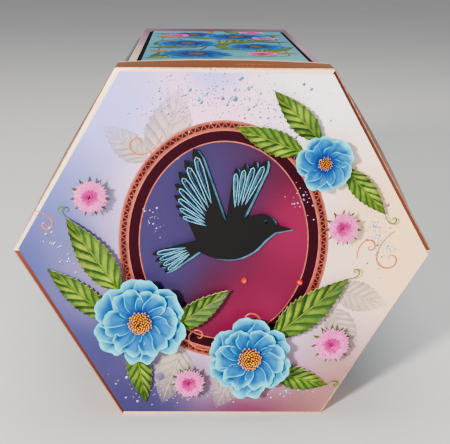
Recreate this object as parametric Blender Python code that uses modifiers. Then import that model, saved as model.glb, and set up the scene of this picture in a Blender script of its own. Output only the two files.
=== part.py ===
"""A hexagonal card box with a lift-off lid, dressed with layered paper cut-outs.

The box lies on one of its six sides with the lid towards -Y, as it is displayed. The origin is
under the middle of the whole piece, on the surface that it lies on. Everything is in metres.
"""

import math
from dataclasses import dataclass

import bmesh
import bpy
from mathutils import Matrix, Vector

# Card and foam
CONTACT_GAP = 0.0003
LID_WALL = 0.0010
BODY_WALL = 0.0010
MAT_CARD = 0.0004
PRINT_CARD = 0.0005
CUT_CARD = 0.0005
FOAM_PAD = 0.0020

# Lid
LID_SIDE = 0.1000
LID_RIM = 0.0210
RIM_BOWS = {
    "upper_right": 0.0030,
    "top": 0.0015,
    "upper_left": 0.0013,
    "lower_left": 0.0005,
    "bottom": 0.0,
    "lower_right": 0.0005,
}
RIM_COLUMNS = 8
RIM_ROWS = 2

# Body
BODY_PLAY = 0.0020
BODY_SHIFT = 0.0012
BODY_LENGTH = 0.2387

# Side panels
MAT_SIDE_MARGIN = 0.0042
MAT_END_MARGIN = 0.0330
MAT_BORDER = 0.0017

# Front print
PRINT_INSET = 0.0015
PRINT_SHIFT = Vector((0.0005, -0.0005))
PRINT_TURN = math.radians(0.5)


@dataclass(frozen=True)
class Petals:
    """One die-cut ring of petals: its sizes, and how finely it is made."""

    count: int
    hub: float
    cup: float
    valley: float
    roundness: float
    rings: int
    spokes: int


# Blossoms with two petal layers and a domed centre
LOWER_PETALS = Petals(6, 0.0060, 0.0025, 0.62, 0.55, 3, 6)
UPPER_PETALS = Petals(6, 0.0060, 0.0032, 0.62, 0.55, 3, 6)
UPPER_SHARE = 0.80
CENTRE_RADIUS = 0.0056
CENTRE_RISE = 0.0034
BLOSSOM_PAD = 0.0130

# Small blossom with one petal layer and a domed centre
SMALL_PETALS = Petals(5, 0.0036, 0.0022, 0.60, 0.6, 2, 6)
SMALL_CENTRE = 0.0032
SMALL_CENTRE_RISE = 0.0022

# Pompons with two fringed layers
POMPON_LOWER = Petals(12, 0.0025, 0.0016, 0.72, 1.0, 2, 2)
POMPON_UPPER = Petals(12, 0.0022, 0.0024, 0.66, 1.0, 2, 2)
POMPON_SHARE = 0.70
SMALL_PAD = 0.0070

# Leaves and gems
LEAF_FOLD = 0.0013
LEAF_TEETH = 7
LEAF_TOOTH = 0.12
LEAF_PAD = 0.0060
GEM_RADIUS = 0.0017
GEM_TABLE = 0.0009
GEM_RISE = 0.0012

# Places on the front, as shares of the lid's side from the lid's middle
BIRD_PLACE = (0.02, 0.08)
BIRD_BACK_SHIFT = Vector((0.0011, -0.0010))
BIRD_SCALE = 0.92
BLOSSOMS = {"left": ((-0.40, -0.34), 0.0230), "low": ((0.13, -0.53), 0.0215)}
SMALL_BLOSSOM = ((0.46, 0.44), 0.0140)
POMPONS = {
    "left": ((-0.62, 0.28), 0.0092),
    "low": ((-0.165, -0.665), 0.0086),
    "right": ((0.53, -0.46), 0.0098),
    "top": ((0.56, 0.13), 0.0086),
}
LEAVES = {
    "left_tall": ((-0.50, -0.19), (-0.74, 0.17), 0.0170, "raised"),
    "left_side": ((-0.55, -0.34), (-0.84, -0.09), 0.0140, "flat"),
    "left_low": ((-0.43, -0.48), (-0.38, -0.79), 0.0130, "flat"),
    "low_inner": ((-0.25, -0.39), (0.03, -0.19), 0.0130, "raised"),
    "low_right": ((0.25, -0.43), (0.60, -0.13), 0.0180, "raised"),
    "low_edge": ((0.25, -0.63), (0.52, -0.70), 0.0130, "flat"),
    "top_up": ((0.44, 0.54), (0.22, 0.77), 0.0125, "raised"),
    "top_inner": ((0.36, 0.48), (0.05, 0.60), 0.0130, "flat"),
    "top_right": ((0.56, 0.41), (0.76, 0.19), 0.0115, "raised"),
}
GEMS = {"middle": (0.10, -0.15), "right": (0.37, -0.16)}

# Heights of the layers in front of the lid's face
PRINT_FRONT = CONTACT_GAP + PRINT_CARD
SEAT_FLAT = PRINT_FRONT + CONTACT_GAP
SEAT_RAISED = SEAT_FLAT + FOAM_PAD + CONTACT_GAP
SEAT_TOP = SEAT_RAISED + FOAM_PAD + CONTACT_GAP
UPPER_SEAT = SEAT_TOP + CUT_CARD + CONTACT_GAP
CENTRE_SEAT = UPPER_SEAT + CUT_CARD + CONTACT_GAP
FRONT_REACH = CENTRE_SEAT + CENTRE_RISE

# The whole piece
ROOT_3 = math.sqrt(3.0)
UPRIGHT_HEXAGON = Matrix.Rotation(math.pi / 2, 4, "X") @ Matrix.Rotation(math.pi / 6, 4, "Z")
LID_APOTHEM = LID_SIDE * ROOT_3 / 2
BODY_APOTHEM = LID_APOTHEM - LID_WALL - BODY_PLAY
BODY_SIDE = BODY_APOTHEM * 2 / ROOT_3
BODY_FRONT = LID_WALL + CONTACT_GAP
TOTAL_DEPTH = FRONT_REACH + BODY_FRONT + BODY_LENGTH
FACE_Y = FRONT_REACH - TOTAL_DEPTH / 2
LID_MIDDLE = Vector((0.0, FACE_Y, LID_APOTHEM))

# Bird outline in metres, facing right, before BIRD_SCALE
BIRD_HEAD = [(0.0245, 0.0062), (0.0222, 0.0098), (0.0175, 0.0122), (0.0118, 0.0110), (0.0075, 0.0092)]
BIRD_BEAK_TIP = (0.0325, 0.0038)
BIRD_SADDLE = (-0.0015, 0.0070)
BIRD_RUMP = (-0.0165, -0.0020)
BIRD_BELLY = [
    (-0.0150, -0.0082),
    (-0.0065, -0.0118),
    (0.0040, -0.0122),
    (0.0130, -0.0082),
    (0.0190, -0.0020),
    (0.0240, 0.0022),
]
BIRD_EYE = ((0.0190, 0.0078), 0.0010)
# Each fan of feathers: root, first and last angle in degrees, first and last length, count
BIRD_FANS = {
    "far_wing": ((0.0030, 0.0050), 62.0, 93.0, 0.0400, 0.0300, 4),
    "near_wing": ((-0.0040, 0.0030), 104.0, 163.0, 0.0470, 0.0210, 7),
    "tail": ((-0.0130, -0.0040), 188.0, 222.0, 0.0270, 0.0250, 4),
}
FEATHER_NOTCH = 0.16
# Half a feather's slit: shares of the feather's length, and of its breadth there
FEATHER_SLIT = ((0.40, 0.0), (0.55, 0.22), (0.76, 0.26), (0.86, 0.12))


def new_collection(name):
    """A collection in the scene for finished pieces."""
    found = bpy.data.collections.new(name)
    bpy.context.scene.collection.children.link(found)
    return found


def material(name, colour, roughness, metallic=0.0):
    """A plain Principled material."""
    made = bpy.data.materials.new(name)
    made.use_nodes = True
    shader = made.node_tree.nodes["Principled BSDF"]
    shader.inputs["Base Color"].default_value = (*colour, 1.0)
    shader.inputs["Roughness"].default_value = roughness
    shader.inputs["Metallic"].default_value = metallic
    return made


def add_object(name, data, finish, parent=None, smooth=False):
    """An object in the box's collection, with its one material."""
    piece = bpy.data.objects.new(name, data)
    data.materials.append(finish)
    bpy.data.collections["decoupage_box"].objects.link(piece)
    piece.parent = parent
    if smooth:
        data.shade_smooth()
    return piece


def mesh_from(name, bm):
    """The mesh that a bmesh holds."""
    mesh = bpy.data.meshes.new(name)
    bm.to_mesh(mesh)
    bm.free()
    return mesh


def thicken(piece, thickness, towards):
    """Gives an open surface its card thickness, on the side that towards names."""
    solidify = piece.modifiers.new("card", "SOLIDIFY")
    solidify.thickness = thickness
    solidify.offset = towards
    solidify.use_even_offset = True


def hexagon_plate(name, apothem, thickness, finish, place, turn):
    """A solid hexagonal plate with flat top and bottom, lying square to Y."""
    bm = bmesh.new()
    reach = apothem * 2 / ROOT_3
    bmesh.ops.create_cone(
        bm, cap_ends=True, segments=6, radius1=reach, radius2=reach, depth=thickness, matrix=UPRIGHT_HEXAGON
    )
    piece = add_object(name, mesh_from(name, bm), finish)
    piece.location = place
    piece.rotation_euler.y = turn
    return piece


def shell_of(name, apothem, depth, opens, finish, bows=None, columns=1, rows=1):
    """A hexagonal cup as an open surface: a flat end and six walls, opening towards +Y or -Y.

    bows gives how far each wall's free edge swells outwards in its middle, from the upper right
    wall round to the lower right one.
    """
    bm = bmesh.new()
    reach = apothem * 2 / ROOT_3
    bmesh.ops.create_circle(bm, cap_ends=True, segments=6, radius=reach, matrix=UPRIGHT_HEXAGON)
    if columns > 1:
        bmesh.ops.subdivide_edges(bm, edges=bm.edges[:], cuts=columns - 1)
    rim = bm.edges[:]
    for _ in range(rows):
        made = bmesh.ops.extrude_edge_only(bm, edges=rim)["geom"]
        rim = [part for part in made if isinstance(part, bmesh.types.BMEdge) and part.is_boundary]
        moved = [part for part in made if isinstance(part, bmesh.types.BMVert)]
        bmesh.ops.translate(bm, verts=moved, vec=(0.0, opens * depth / rows, 0.0))
    if bows:
        bow_walls(bm, apothem, depth, list(bows.values()))
    bmesh.ops.recalc_face_normals(bm, faces=bm.faces[:])
    end = min(bm.faces, key=lambda face: abs(face.calc_center_median().y))
    end.normal_update()
    if end.normal.y * opens > 0:
        bmesh.ops.reverse_faces(bm, faces=bm.faces[:])
    return add_object(name, mesh_from(name, bm), finish)


def bow_walls(bm, apothem, depth, bows):
    """Swells each wall outwards, most at the middle of its free edge and not at its corners."""
    for vert in bm.verts:
        side = int(math.degrees(math.atan2(vert.co.z, vert.co.x)) % 360 // 60)
        facing = math.radians(side * 60 + 30)
        normal = Vector((math.cos(facing), 0.0, math.sin(facing)))
        along = vert.co.cross(normal).y / (apothem / ROOT_3)
        swell = max(0.0, 1 - along**2) * (abs(vert.co.y) / depth) ** 1.5
        vert.co += normal * bows[side] * swell


def spun_disc(radii, steps):
    """A flat disc of rings and spokes, in the XY plane, made by spinning a chain of edges."""
    bm = bmesh.new()
    chain = [bm.verts.new((radius, 0.0, 0.0)) for radius in radii]
    for inner, outer in zip(chain, chain[1:]):
        bm.edges.new((inner, outer))
    bmesh.ops.spin(
        bm,
        geom=bm.verts[:] + bm.edges[:],
        cent=(0.0, 0.0, 0.0),
        axis=(0.0, 0.0, 1.0),
        angle=2 * math.pi,
        steps=steps,
        use_merge=True,
    )
    bmesh.ops.remove_doubles(bm, verts=bm.verts[:], dist=1e-6)
    bmesh.ops.recalc_face_normals(bm, faces=bm.faces[:])
    if sum(face.normal.z for face in bm.faces) < 0:
        bmesh.ops.reverse_faces(bm, faces=bm.faces[:])
    return bm


def petal_layer(name, shape, radius, finish, seat, place, spin=0.0):
    """One die-cut ring of petals, joined at its hub and cupped forwards."""
    spread = radius - shape.hub
    radii = [0.0] + [shape.hub + spread * k / shape.rings for k in range(shape.rings + 1)]
    bm = spun_disc(radii, shape.count * shape.spokes)
    for vert in bm.verts:
        share = (vert.co.xy.length - shape.hub) / spread
        if share <= 0.001:
            continue
        turn = math.atan2(vert.co.y, vert.co.x)
        lobe = shape.valley + (1 - shape.valley) * abs(math.sin(shape.count * turn / 2)) ** shape.roundness
        reach = shape.hub + (radius * lobe - shape.hub) * share
        vert.co.xy = reach * Vector((math.cos(turn), math.sin(turn)))
        vert.co.z = shape.cup * ((reach - shape.hub) / spread) ** 2
    piece = add_object(name, mesh_from(name, bm), finish, FACE, smooth=True)
    piece.location = (*place, seat)
    piece.rotation_euler.z = spin
    thicken(piece, CUT_CARD, 1.0)
    return piece


def dome(name, radius, rise, finish, seat, place, segments=12, rings=3):
    """A domed centre with a flat back, turned from a quarter-circle profile."""
    bm = bmesh.new()
    turns = [math.pi / 2 * k / rings for k in range(rings + 1)]
    chain = [bm.verts.new((radius * math.cos(a), 0.0, rise * math.sin(a))) for a in turns]
    chain.insert(0, bm.verts.new((0.0, 0.0, 0.0)))
    chain[-1].co.x = 0.0
    for first, second in zip(chain, chain[1:]):
        bm.edges.new((first, second))
    bmesh.ops.spin(
        bm,
        geom=bm.verts[:] + bm.edges[:],
        cent=(0.0, 0.0, 0.0),
        axis=(0.0, 0.0, 1.0),
        angle=2 * math.pi,
        steps=segments,
        use_merge=True,
    )
    bmesh.ops.remove_doubles(bm, verts=bm.verts[:], dist=1e-6)
    bmesh.ops.recalc_face_normals(bm, faces=bm.faces[:])
    piece = add_object(name, mesh_from(name, bm), finish, FACE, smooth=True)
    piece.location = (*place, seat)
    return piece


def pad(name, width, thickness, seat, place, spin=0.0):
    """A square of foam tape."""
    bm = bmesh.new()
    bmesh.ops.create_cube(bm, size=1.0, matrix=Matrix.Diagonal((width, width, thickness, 1.0)))
    piece = add_object(name, mesh_from(name, bm), FOAM, FACE)
    piece.location = (*place, seat + thickness / 2)
    piece.rotation_euler.z = spin
    return piece


def leaf(name, base, tip, width, seat, finish):
    """A toothed leaf folded along its midrib, from its base to its tip."""
    run = Vector(tip) - Vector(base)
    length = run.length
    bm = bmesh.new()
    bmesh.ops.create_grid(bm, x_segments=2, y_segments=2 * LEAF_TEETH, size=0.5)
    for vert in bm.verts:
        along = vert.co.y + 0.5
        side = round(vert.co.x * 2)
        step = round(along * 2 * LEAF_TEETH)
        half = width / 2 * math.sin(math.pi * min(1.0, along**0.72)) ** 0.85
        tooth = 1 - LEAF_TOOTH * (step % 2)
        across = side * max(half * tooth, 0.02 * width)
        vert.co = Vector((across, along * length, abs(side) * LEAF_FOLD * math.sin(math.pi * along)))
    bmesh.ops.recalc_face_normals(bm, faces=bm.faces[:])
    if sum(face.normal.z for face in bm.faces) < 0:
        bmesh.ops.reverse_faces(bm, faces=bm.faces[:])
    piece = add_object(name, mesh_from(name, bm), finish, FACE)
    piece.location = (*base, seat)
    piece.rotation_euler.z = math.atan2(run.y, run.x) - math.pi / 2
    thicken(piece, CUT_CARD, 1.0)
    return piece


def smooth_run(points, steps):
    """Points on a Catmull-Rom curve through the given ones, ends included."""
    padded = [points[0], *points, points[-1]]
    run = []
    for before, start, end, after in zip(padded, padded[1:], padded[2:], padded[3:]):
        for k in range(steps):
            t = k / steps
            run.append(
                0.5
                * (
                    2 * start
                    + (end - before) * t
                    + (2 * before - 5 * start + 4 * end - after) * t**2
                    + (3 * start - before - 3 * end + after) * t**3
                )
            )
    return run + [points[-1]]


def fan_edge(root, first, last, long_end, short_end, feathers):
    """The scalloped outer edge of a fan of feathers."""
    edge = []
    steps = 4
    for k in range(feathers * steps + 1):
        share = k / (feathers * steps)
        turn = math.radians(first + (last - first) * share)
        within = (k % steps) / steps
        scallop = 1 - FEATHER_NOTCH * (1 - math.sin(math.pi * within))
        if k in (0, feathers * steps):
            scallop = 1 - FEATHER_NOTCH
        reach = (long_end + (short_end - long_end) * share) * scallop
        edge.append(Vector(root) + reach * Vector((math.cos(turn), math.sin(turn))))
    return edge


def fan_slots(root, first, last, long_end, short_end, feathers):
    """A slit down the middle of each feather."""
    slots = []
    pitch = math.radians(last - first) / feathers
    for k in range(feathers):
        share = (k + 0.5) / feathers
        turn = math.radians(first + (last - first) * share)
        reach = long_end + (short_end - long_end) * share
        along = Vector((math.cos(turn), math.sin(turn)))
        across = Vector((-along.y, along.x))
        outline = [*FEATHER_SLIT, *((at, -half) for at, half in reversed(FEATHER_SLIT[1:]))]
        slots.append([Vector(root) + reach * at * (along + across * abs(pitch) * half) for at, half in outline])
    return slots


def bird_outline():
    """The bird's one outer edge, going round anticlockwise from its beak."""
    head = smooth_run([Vector(p) for p in BIRD_HEAD], 3)
    belly = smooth_run([Vector(p) for p in BIRD_BELLY], 3)
    fans = {name: fan_edge(*fan) for name, fan in BIRD_FANS.items()}
    return (
        [Vector(BIRD_BEAK_TIP)]
        + head
        + fans["far_wing"]
        + [Vector(BIRD_SADDLE)]
        + fans["near_wing"]
        + [Vector(BIRD_RUMP)]
        + fans["tail"]
        + belly
    )


def bird_cut_outs():
    """The slits in the feathers and the eye."""
    cut_outs = [slot for fan in BIRD_FANS.values() for slot in fan_slots(*fan)]
    (across, up), radius = BIRD_EYE
    turns = [math.pi / 4 * k for k in range(8)]
    cut_outs.append([Vector((across + radius * math.cos(a), up + radius * math.sin(a))) for a in turns])
    return cut_outs


def bird(name, finish, seat, place):
    """The bird as one flat die-cut card."""
    curve = bpy.data.curves.new(name, "CURVE")
    curve.dimensions = "2D"
    curve.fill_mode = "BOTH"
    curve.extrude = CUT_CARD / 2
    for outline in [bird_outline()] + bird_cut_outs():
        spline = curve.splines.new("POLY")
        spline.points.add(len(outline) - 1)
        for point, at in zip(spline.points, outline):
            point.co = (at.x * BIRD_SCALE, at.y * BIRD_SCALE, 0.0, 1.0)
        spline.use_cyclic_u = True
    piece = add_object(name, curve, finish, FACE)
    piece.location = (*place, seat + CUT_CARD / 2)
    return piece


def on_face(share):
    """A place on the front from its shares of the lid's side."""
    return Vector(share) * LID_SIDE


def build_lid():
    """The lid with its swollen rims."""
    lid = shell_of("lid", LID_APOTHEM, LID_RIM, 1, COPPER, RIM_BOWS, RIM_COLUMNS, RIM_ROWS)
    lid.location = LID_MIDDLE
    thicken(lid, LID_WALL, -1.0)


def build_body():
    """The open-ended body with its base at the far end."""
    body = shell_of("box_body", BODY_APOTHEM, BODY_LENGTH, -1, PASTEL)
    body.location = LID_MIDDLE + Vector((BODY_SHIFT, BODY_FRONT + BODY_LENGTH, 0.0))
    thicken(body, BODY_WALL, -1.0)


def build_side_panels():
    """A black mat and a picture on each of the six sides."""
    middle = LID_MIDDLE + Vector((BODY_SHIFT, BODY_FRONT + BODY_LENGTH / 2, 0.0))
    mat_size = Vector((BODY_SIDE - 2 * MAT_SIDE_MARGIN, BODY_LENGTH - 2 * MAT_END_MARGIN, MAT_CARD))
    picture_size = mat_size - Vector((2 * MAT_BORDER, 2 * MAT_BORDER, 0.0))
    layers = (
        ("side_mat", mat_size, BODY_APOTHEM + CONTACT_GAP, BLACK),
        ("side_picture", picture_size, BODY_APOTHEM + 2 * CONTACT_GAP + MAT_CARD, TEAL),
    )
    for stem, size, lift, finish in layers:
        for side in range(6):
            bm = bmesh.new()
            bmesh.ops.create_cube(bm, size=1.0, matrix=Matrix.Diagonal((*size, 1.0)))
            piece = add_object(f"{stem}_{side + 1}", mesh_from(stem, bm), finish)
            turn = Matrix.Rotation(math.radians(60 * side), 4, "Y")
            piece.location = middle + turn @ Vector((0.0, 0.0, lift + MAT_CARD / 2))
            piece.rotation_euler = turn.to_euler()


def build_front_print():
    """The printed hexagon on the lid, glued a little low and to the right."""
    place = LID_MIDDLE + Vector((PRINT_SHIFT.x, -CONTACT_GAP - PRINT_CARD / 2, PRINT_SHIFT.y))
    hexagon_plate("front_print", LID_APOTHEM - PRINT_INSET, PRINT_CARD, PASTEL, place, PRINT_TURN)


def build_bird():
    """The black bird on foam over its blue backing."""
    place = on_face(BIRD_PLACE)
    backing_place = place + BIRD_BACK_SHIFT
    bird("bird_backing", SKY, SEAT_FLAT, backing_place)
    bird("bird", INK, SEAT_RAISED, place)
    thickness = FOAM_PAD - CUT_CARD - CONTACT_GAP
    seat = SEAT_FLAT + CUT_CARD + CONTACT_GAP
    pads = {"breast": Vector((0.0085, -0.0010)), "rump": Vector((-0.0085, -0.0035))}
    for name, offset in pads.items():
        pad(f"bird_pad_{name}", LEAF_PAD, thickness, seat, place + offset * BIRD_SCALE)


def foam_under_top(name, width, place):
    """A foam block as high as the top layer's seat."""
    pad(name, width, SEAT_TOP - CONTACT_GAP - SEAT_FLAT, SEAT_FLAT, place)


def build_blossom(name, place, radius):
    """A large blue blossom: foam, two petal layers and a golden centre."""
    foam_under_top(f"blossom_{name}_pad", BLOSSOM_PAD, place)
    petal_layer(f"blossom_{name}_lower", LOWER_PETALS, radius, SKY, SEAT_TOP, place)
    half_petal = math.pi / UPPER_PETALS.count
    petal_layer(
        f"blossom_{name}_upper", UPPER_PETALS, radius * UPPER_SHARE, SKY, UPPER_SEAT, place, half_petal
    )
    dome(f"blossom_{name}_centre", CENTRE_RADIUS, CENTRE_RISE, GOLD, CENTRE_SEAT, place)


def build_small_blossom():
    """A small blue blossom with one petal layer."""
    share, radius = SMALL_BLOSSOM
    place = on_face(share)
    foam_under_top("small_blossom_pad", SMALL_PAD, place)
    petal_layer("small_blossom_petals", SMALL_PETALS, radius, SKY, SEAT_TOP, place)
    dome("small_blossom_centre", SMALL_CENTRE, SMALL_CENTRE_RISE, GOLD, UPPER_SEAT, place, segments=10)


def build_pompon(name, place, radius):
    """A pink pompon flower of two fringed layers."""
    foam_under_top(f"pompon_{name}_pad", SMALL_PAD, place)
    petal_layer(f"pompon_{name}_lower", POMPON_LOWER, radius, PINK, SEAT_TOP, place)
    half_petal = math.pi / POMPON_UPPER.count
    petal_layer(
        f"pompon_{name}_upper", POMPON_UPPER, radius * POMPON_SHARE, PINK, UPPER_SEAT, place, half_petal
    )


def build_leaf(name, base_share, tip_share, width, level):
    """A leaf, glued flat or raised on a foam pad."""
    base, tip = on_face(base_share), on_face(tip_share)
    seat = SEAT_FLAT if level == "flat" else SEAT_RAISED
    leaf(f"leaf_{name}", base, tip, width, seat, GREEN)
    if level == "raised":
        run = tip - base
        pad(f"leaf_{name}_pad", LEAF_PAD, FOAM_PAD, SEAT_FLAT, base + run * 0.45, math.atan2(run.y, run.x))


def build_gem(name, place):
    """A flat-backed faceted gem."""
    bm = bmesh.new()
    bmesh.ops.create_cone(
        bm, cap_ends=True, segments=8, radius1=GEM_RADIUS, radius2=GEM_TABLE, depth=GEM_RISE
    )
    piece = add_object(f"gem_{name}", mesh_from("gem", bm), RUBY, FACE)
    piece.location = (*place, SEAT_FLAT + GEM_RISE / 2)


def build_decoupage():
    """Everything that is glued on the front print."""
    build_bird()
    for name, (share, radius) in BLOSSOMS.items():
        build_blossom(name, on_face(share), radius)
    build_small_blossom()
    for name, (share, radius) in POMPONS.items():
        build_pompon(name, on_face(share), radius)
    for name, facts in LEAVES.items():
        build_leaf(name, *facts)
    for name, share in GEMS.items():
        build_gem(name, on_face(share))


for old in list(bpy.data.objects):
    bpy.data.objects.remove(old)
new_collection("decoupage_box")
COPPER = material("copper mirror card", (0.62, 0.33, 0.24), 0.22, 1.0)
PASTEL = material("pastel card", (0.66, 0.60, 0.74), 0.55)
BLACK = material("black card", (0.02, 0.02, 0.02), 0.6)
TEAL = material("teal print", (0.20, 0.52, 0.60), 0.4)
SKY = material("sky blue card", (0.16, 0.55, 0.86), 0.45)
INK = material("black cut card", (0.03, 0.03, 0.03), 0.5)
GOLD = material("golden centre", (0.88, 0.58, 0.16), 0.5)
PINK = material("pink petals", (0.82, 0.36, 0.62), 0.5)
GREEN = material("leaf green card", (0.28, 0.48, 0.10), 0.5)
FOAM = material("white foam", (0.90, 0.90, 0.88), 0.8)
RUBY = material("red gem", (0.75, 0.10, 0.05), 0.1)

FACE = bpy.data.objects.new("lid_face", None)
bpy.context.scene.collection.objects.link(FACE)
FACE.location = LID_MIDDLE
FACE.rotation_euler = (math.pi / 2, 0.0, 0.0)

build_lid()
build_body()
build_side_panels()
build_front_print()
build_decoupage()
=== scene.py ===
"""The looks of a hexagonal card box with a lift-off lid, dressed with layered paper cut-outs.

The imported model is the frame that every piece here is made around. Lengths are in metres. On the
lid's front a place is (across, up) from the middle of the lid's face, and a height is how far in
front of that face something stands.
"""

from __future__ import annotations

import logging
import math
import random
from dataclasses import dataclass
from enum import Enum
from functools import cache
from typing import Callable, Iterable, Sequence

import bmesh
import bpy
from mathutils import Matrix, Vector

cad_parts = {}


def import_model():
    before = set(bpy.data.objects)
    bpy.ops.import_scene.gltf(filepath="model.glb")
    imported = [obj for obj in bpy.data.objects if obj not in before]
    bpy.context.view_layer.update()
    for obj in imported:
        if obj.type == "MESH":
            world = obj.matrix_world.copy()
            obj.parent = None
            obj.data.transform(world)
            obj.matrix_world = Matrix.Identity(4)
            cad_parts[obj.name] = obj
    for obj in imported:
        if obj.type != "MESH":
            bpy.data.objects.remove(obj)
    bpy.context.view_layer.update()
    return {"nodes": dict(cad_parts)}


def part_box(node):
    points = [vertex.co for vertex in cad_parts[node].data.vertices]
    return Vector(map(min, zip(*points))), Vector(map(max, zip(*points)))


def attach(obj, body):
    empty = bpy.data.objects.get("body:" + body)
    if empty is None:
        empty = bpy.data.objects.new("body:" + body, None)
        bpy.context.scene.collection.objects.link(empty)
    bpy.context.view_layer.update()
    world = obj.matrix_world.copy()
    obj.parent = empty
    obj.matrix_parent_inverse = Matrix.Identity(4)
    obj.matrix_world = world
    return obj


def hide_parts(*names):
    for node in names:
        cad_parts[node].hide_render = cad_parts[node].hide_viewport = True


LOG = logging.getLogger("decoupage box")
ROOT_3 = math.sqrt(3.0)
# Two points this close lie in one plane.
SLACK = 1e-5
BODY = "root"
PRINTED = "printed_card"
Colour = tuple[float, float, float]
Pair = tuple[float, float]
Material = bpy.types.Material
Piece = bpy.types.Object
Socket = bpy.types.NodeSocket


def ink(red: int, green: int, blue: int) -> Colour:
    """A print colour, given as a painter mixes it on screen from 0 to 255, in linear light."""
    shares = (red / 255, green / 255, blue / 255)
    return tuple(s / 12.92 if s <= 0.04045 else ((s + 0.055) / 1.055) ** 2.4 for s in shares)


@dataclass(frozen=True)
class Stock:
    """Printed card: the finish of its faces, and that of its pale cut edge."""

    face: Material
    edge: Material


# Points closer than this are merged, in new pieces and in packed ones.
DOUBLE = 1e-6
PACKED_DOUBLE = 2e-6
# Packed faces that meet flatter than this are joined.
FLAT_ANGLE = math.radians(0.5)


def unselect() -> None:
    """Leaves edit mode and selects nothing."""
    if bpy.context.mode != "OBJECT":
        bpy.ops.object.mode_set(mode="OBJECT")
    bpy.ops.object.select_all(action="DESELECT")


def pick_up(piece: Piece) -> None:
    """Selects one piece alone and makes it the active one.

    Args:
        piece: The piece.
    """
    unselect()
    piece.select_set(True)
    bpy.context.view_layer.objects.active = piece


def open_mesh(piece: Piece, action: str = "SELECT") -> None:
    """Opens a piece in edit mode.

    Args:
        piece: The piece.
        action: What happens to its points: SELECT or DESELECT.
    """
    pick_up(piece)
    bpy.ops.object.mode_set(mode="EDIT")
    bpy.ops.mesh.select_all(action=action)


def name_new(name: str) -> Piece:
    """Names the primitive that was just added.

    Args:
        name: The name of the object and of its mesh.

    Returns:
        The primitive.
    """
    piece = bpy.context.active_object
    piece.name = name
    piece.data.name = name
    return piece


def new_grid(name: str, columns: int, rows: int) -> Piece:
    """A one-metre grid around the origin, with a UV map from 0 to 1.

    Args:
        name: Its name.
        columns: How many faces it has across.
        rows: How many faces it has along.

    Returns:
        The grid.
    """
    unselect()
    bpy.ops.mesh.primitive_grid_add(x_subdivisions=columns, y_subdivisions=rows, size=1.0, calc_uvs=True)
    return name_new(name)


def bend(piece: Piece, rule: Callable[[float, float], Sequence[float]]) -> Piece:
    """Moves each point of a grid to where a rule puts it.

    Args:
        piece: The grid.
        rule: Gives a point from its shares across and along, both from 0 to 1.

    Returns:
        The same piece.
    """
    for vert in piece.data.vertices:
        vert.co = rule(vert.co.x + 0.5, vert.co.y + 0.5)
    return piece


def modify(piece: Piece, kind: str, **settings: object) -> Piece:
    """Adds one modifier with its settings and applies it.

    Args:
        piece: The piece that it acts on.
        kind: The modifier's type.
        **settings: Its values.

    Returns:
        The same piece.
    """
    pick_up(piece)
    bpy.ops.object.modifier_add(type=kind)
    modifier = piece.modifiers[-1]
    for key, value in settings.items():
        setattr(modifier, key, value)
    bpy.ops.object.modifier_apply(modifier=modifier.name)
    return piece


def thicken(piece: Piece, thickness: float, stock: Stock | None = None) -> Piece:
    """Gives an open surface the thickness of its card, in front of it.

    Args:
        piece: The open surface.
        thickness: The card's thickness.
        stock: The card's print and its cut edge, where it has both.

    Returns:
        The same piece.
    """
    if stock:
        piece.data.materials.append(stock.face)
        piece.data.materials.append(stock.edge)
    return modify(piece, "SOLIDIFY", thickness=thickness, offset=1.0, material_offset_rim=1)


def turn_outward(piece: Piece) -> Piece:
    """Merges doubles and turns all faces outwards.

    Args:
        piece: The piece.

    Returns:
        The same piece.
    """
    open_mesh(piece)
    bpy.ops.mesh.remove_doubles(threshold=DOUBLE)
    bpy.ops.mesh.normals_make_consistent(inside=False)
    bpy.ops.object.mode_set(mode="OBJECT")
    return piece


def soften(piece: Piece, degrees: float) -> Piece:
    """Shades a piece smooth, except where its faces meet sharply.

    Args:
        piece: The piece.
        degrees: The angle from which an edge stays sharp.

    Returns:
        The same piece.
    """
    pick_up(piece)
    bpy.ops.object.shade_smooth_by_angle(angle=math.radians(degrees))
    return piece


def join(name: str, pieces: Sequence[Piece]) -> Piece:
    """Makes several pieces one.

    Args:
        name: The name of the whole.
        pieces: The pieces.

    Returns:
        The whole.
    """
    pick_up(pieces[0])
    for piece in pieces[1:]:
        piece.select_set(True)
    if len(pieces) > 1:
        bpy.ops.object.join()
    return name_new(name)


def repeat(name: str, model: Piece, places: Iterable[Matrix]) -> Piece:
    """Copies a small model to many places, as one piece with a mesh of its own.

    Args:
        name: The new piece's name.
        model: What is copied. It is removed afterwards.
        places: Where each copy goes.

    Returns:
        The new piece.
    """
    gathered = bmesh.new()
    for place in places:
        start = len(gathered.verts)
        gathered.from_mesh(model.data)
        gathered.verts.ensure_lookup_table()
        bmesh.ops.transform(gathered, matrix=place, verts=gathered.verts[start:])
    mesh = bpy.data.meshes.new(name)
    for slot in model.data.materials:
        mesh.materials.append(slot)
    gathered.to_mesh(mesh)
    gathered.free()
    piece = bpy.data.objects.new(name, mesh)
    bpy.context.scene.collection.objects.link(piece)
    bpy.data.objects.remove(model)
    return piece


def copy_node(name: str, node: str) -> Piece:
    """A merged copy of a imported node's mesh, to be finished further.

    Args:
        name: The copy's name.
        node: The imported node.

    Returns:
        The copy.
    """
    piece = bpy.data.objects.new(name, NODES[node].data.copy())
    piece.data.materials.clear()
    bpy.context.scene.collection.objects.link(piece)
    open_mesh(piece)
    bpy.ops.mesh.remove_doubles(threshold=PACKED_DOUBLE)
    bpy.ops.mesh.dissolve_limited(angle_limit=FLAT_ANGLE)
    bpy.ops.object.mode_set(mode="OBJECT")
    return piece


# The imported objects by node.
NODES: dict[str, Piece] = {}


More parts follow.
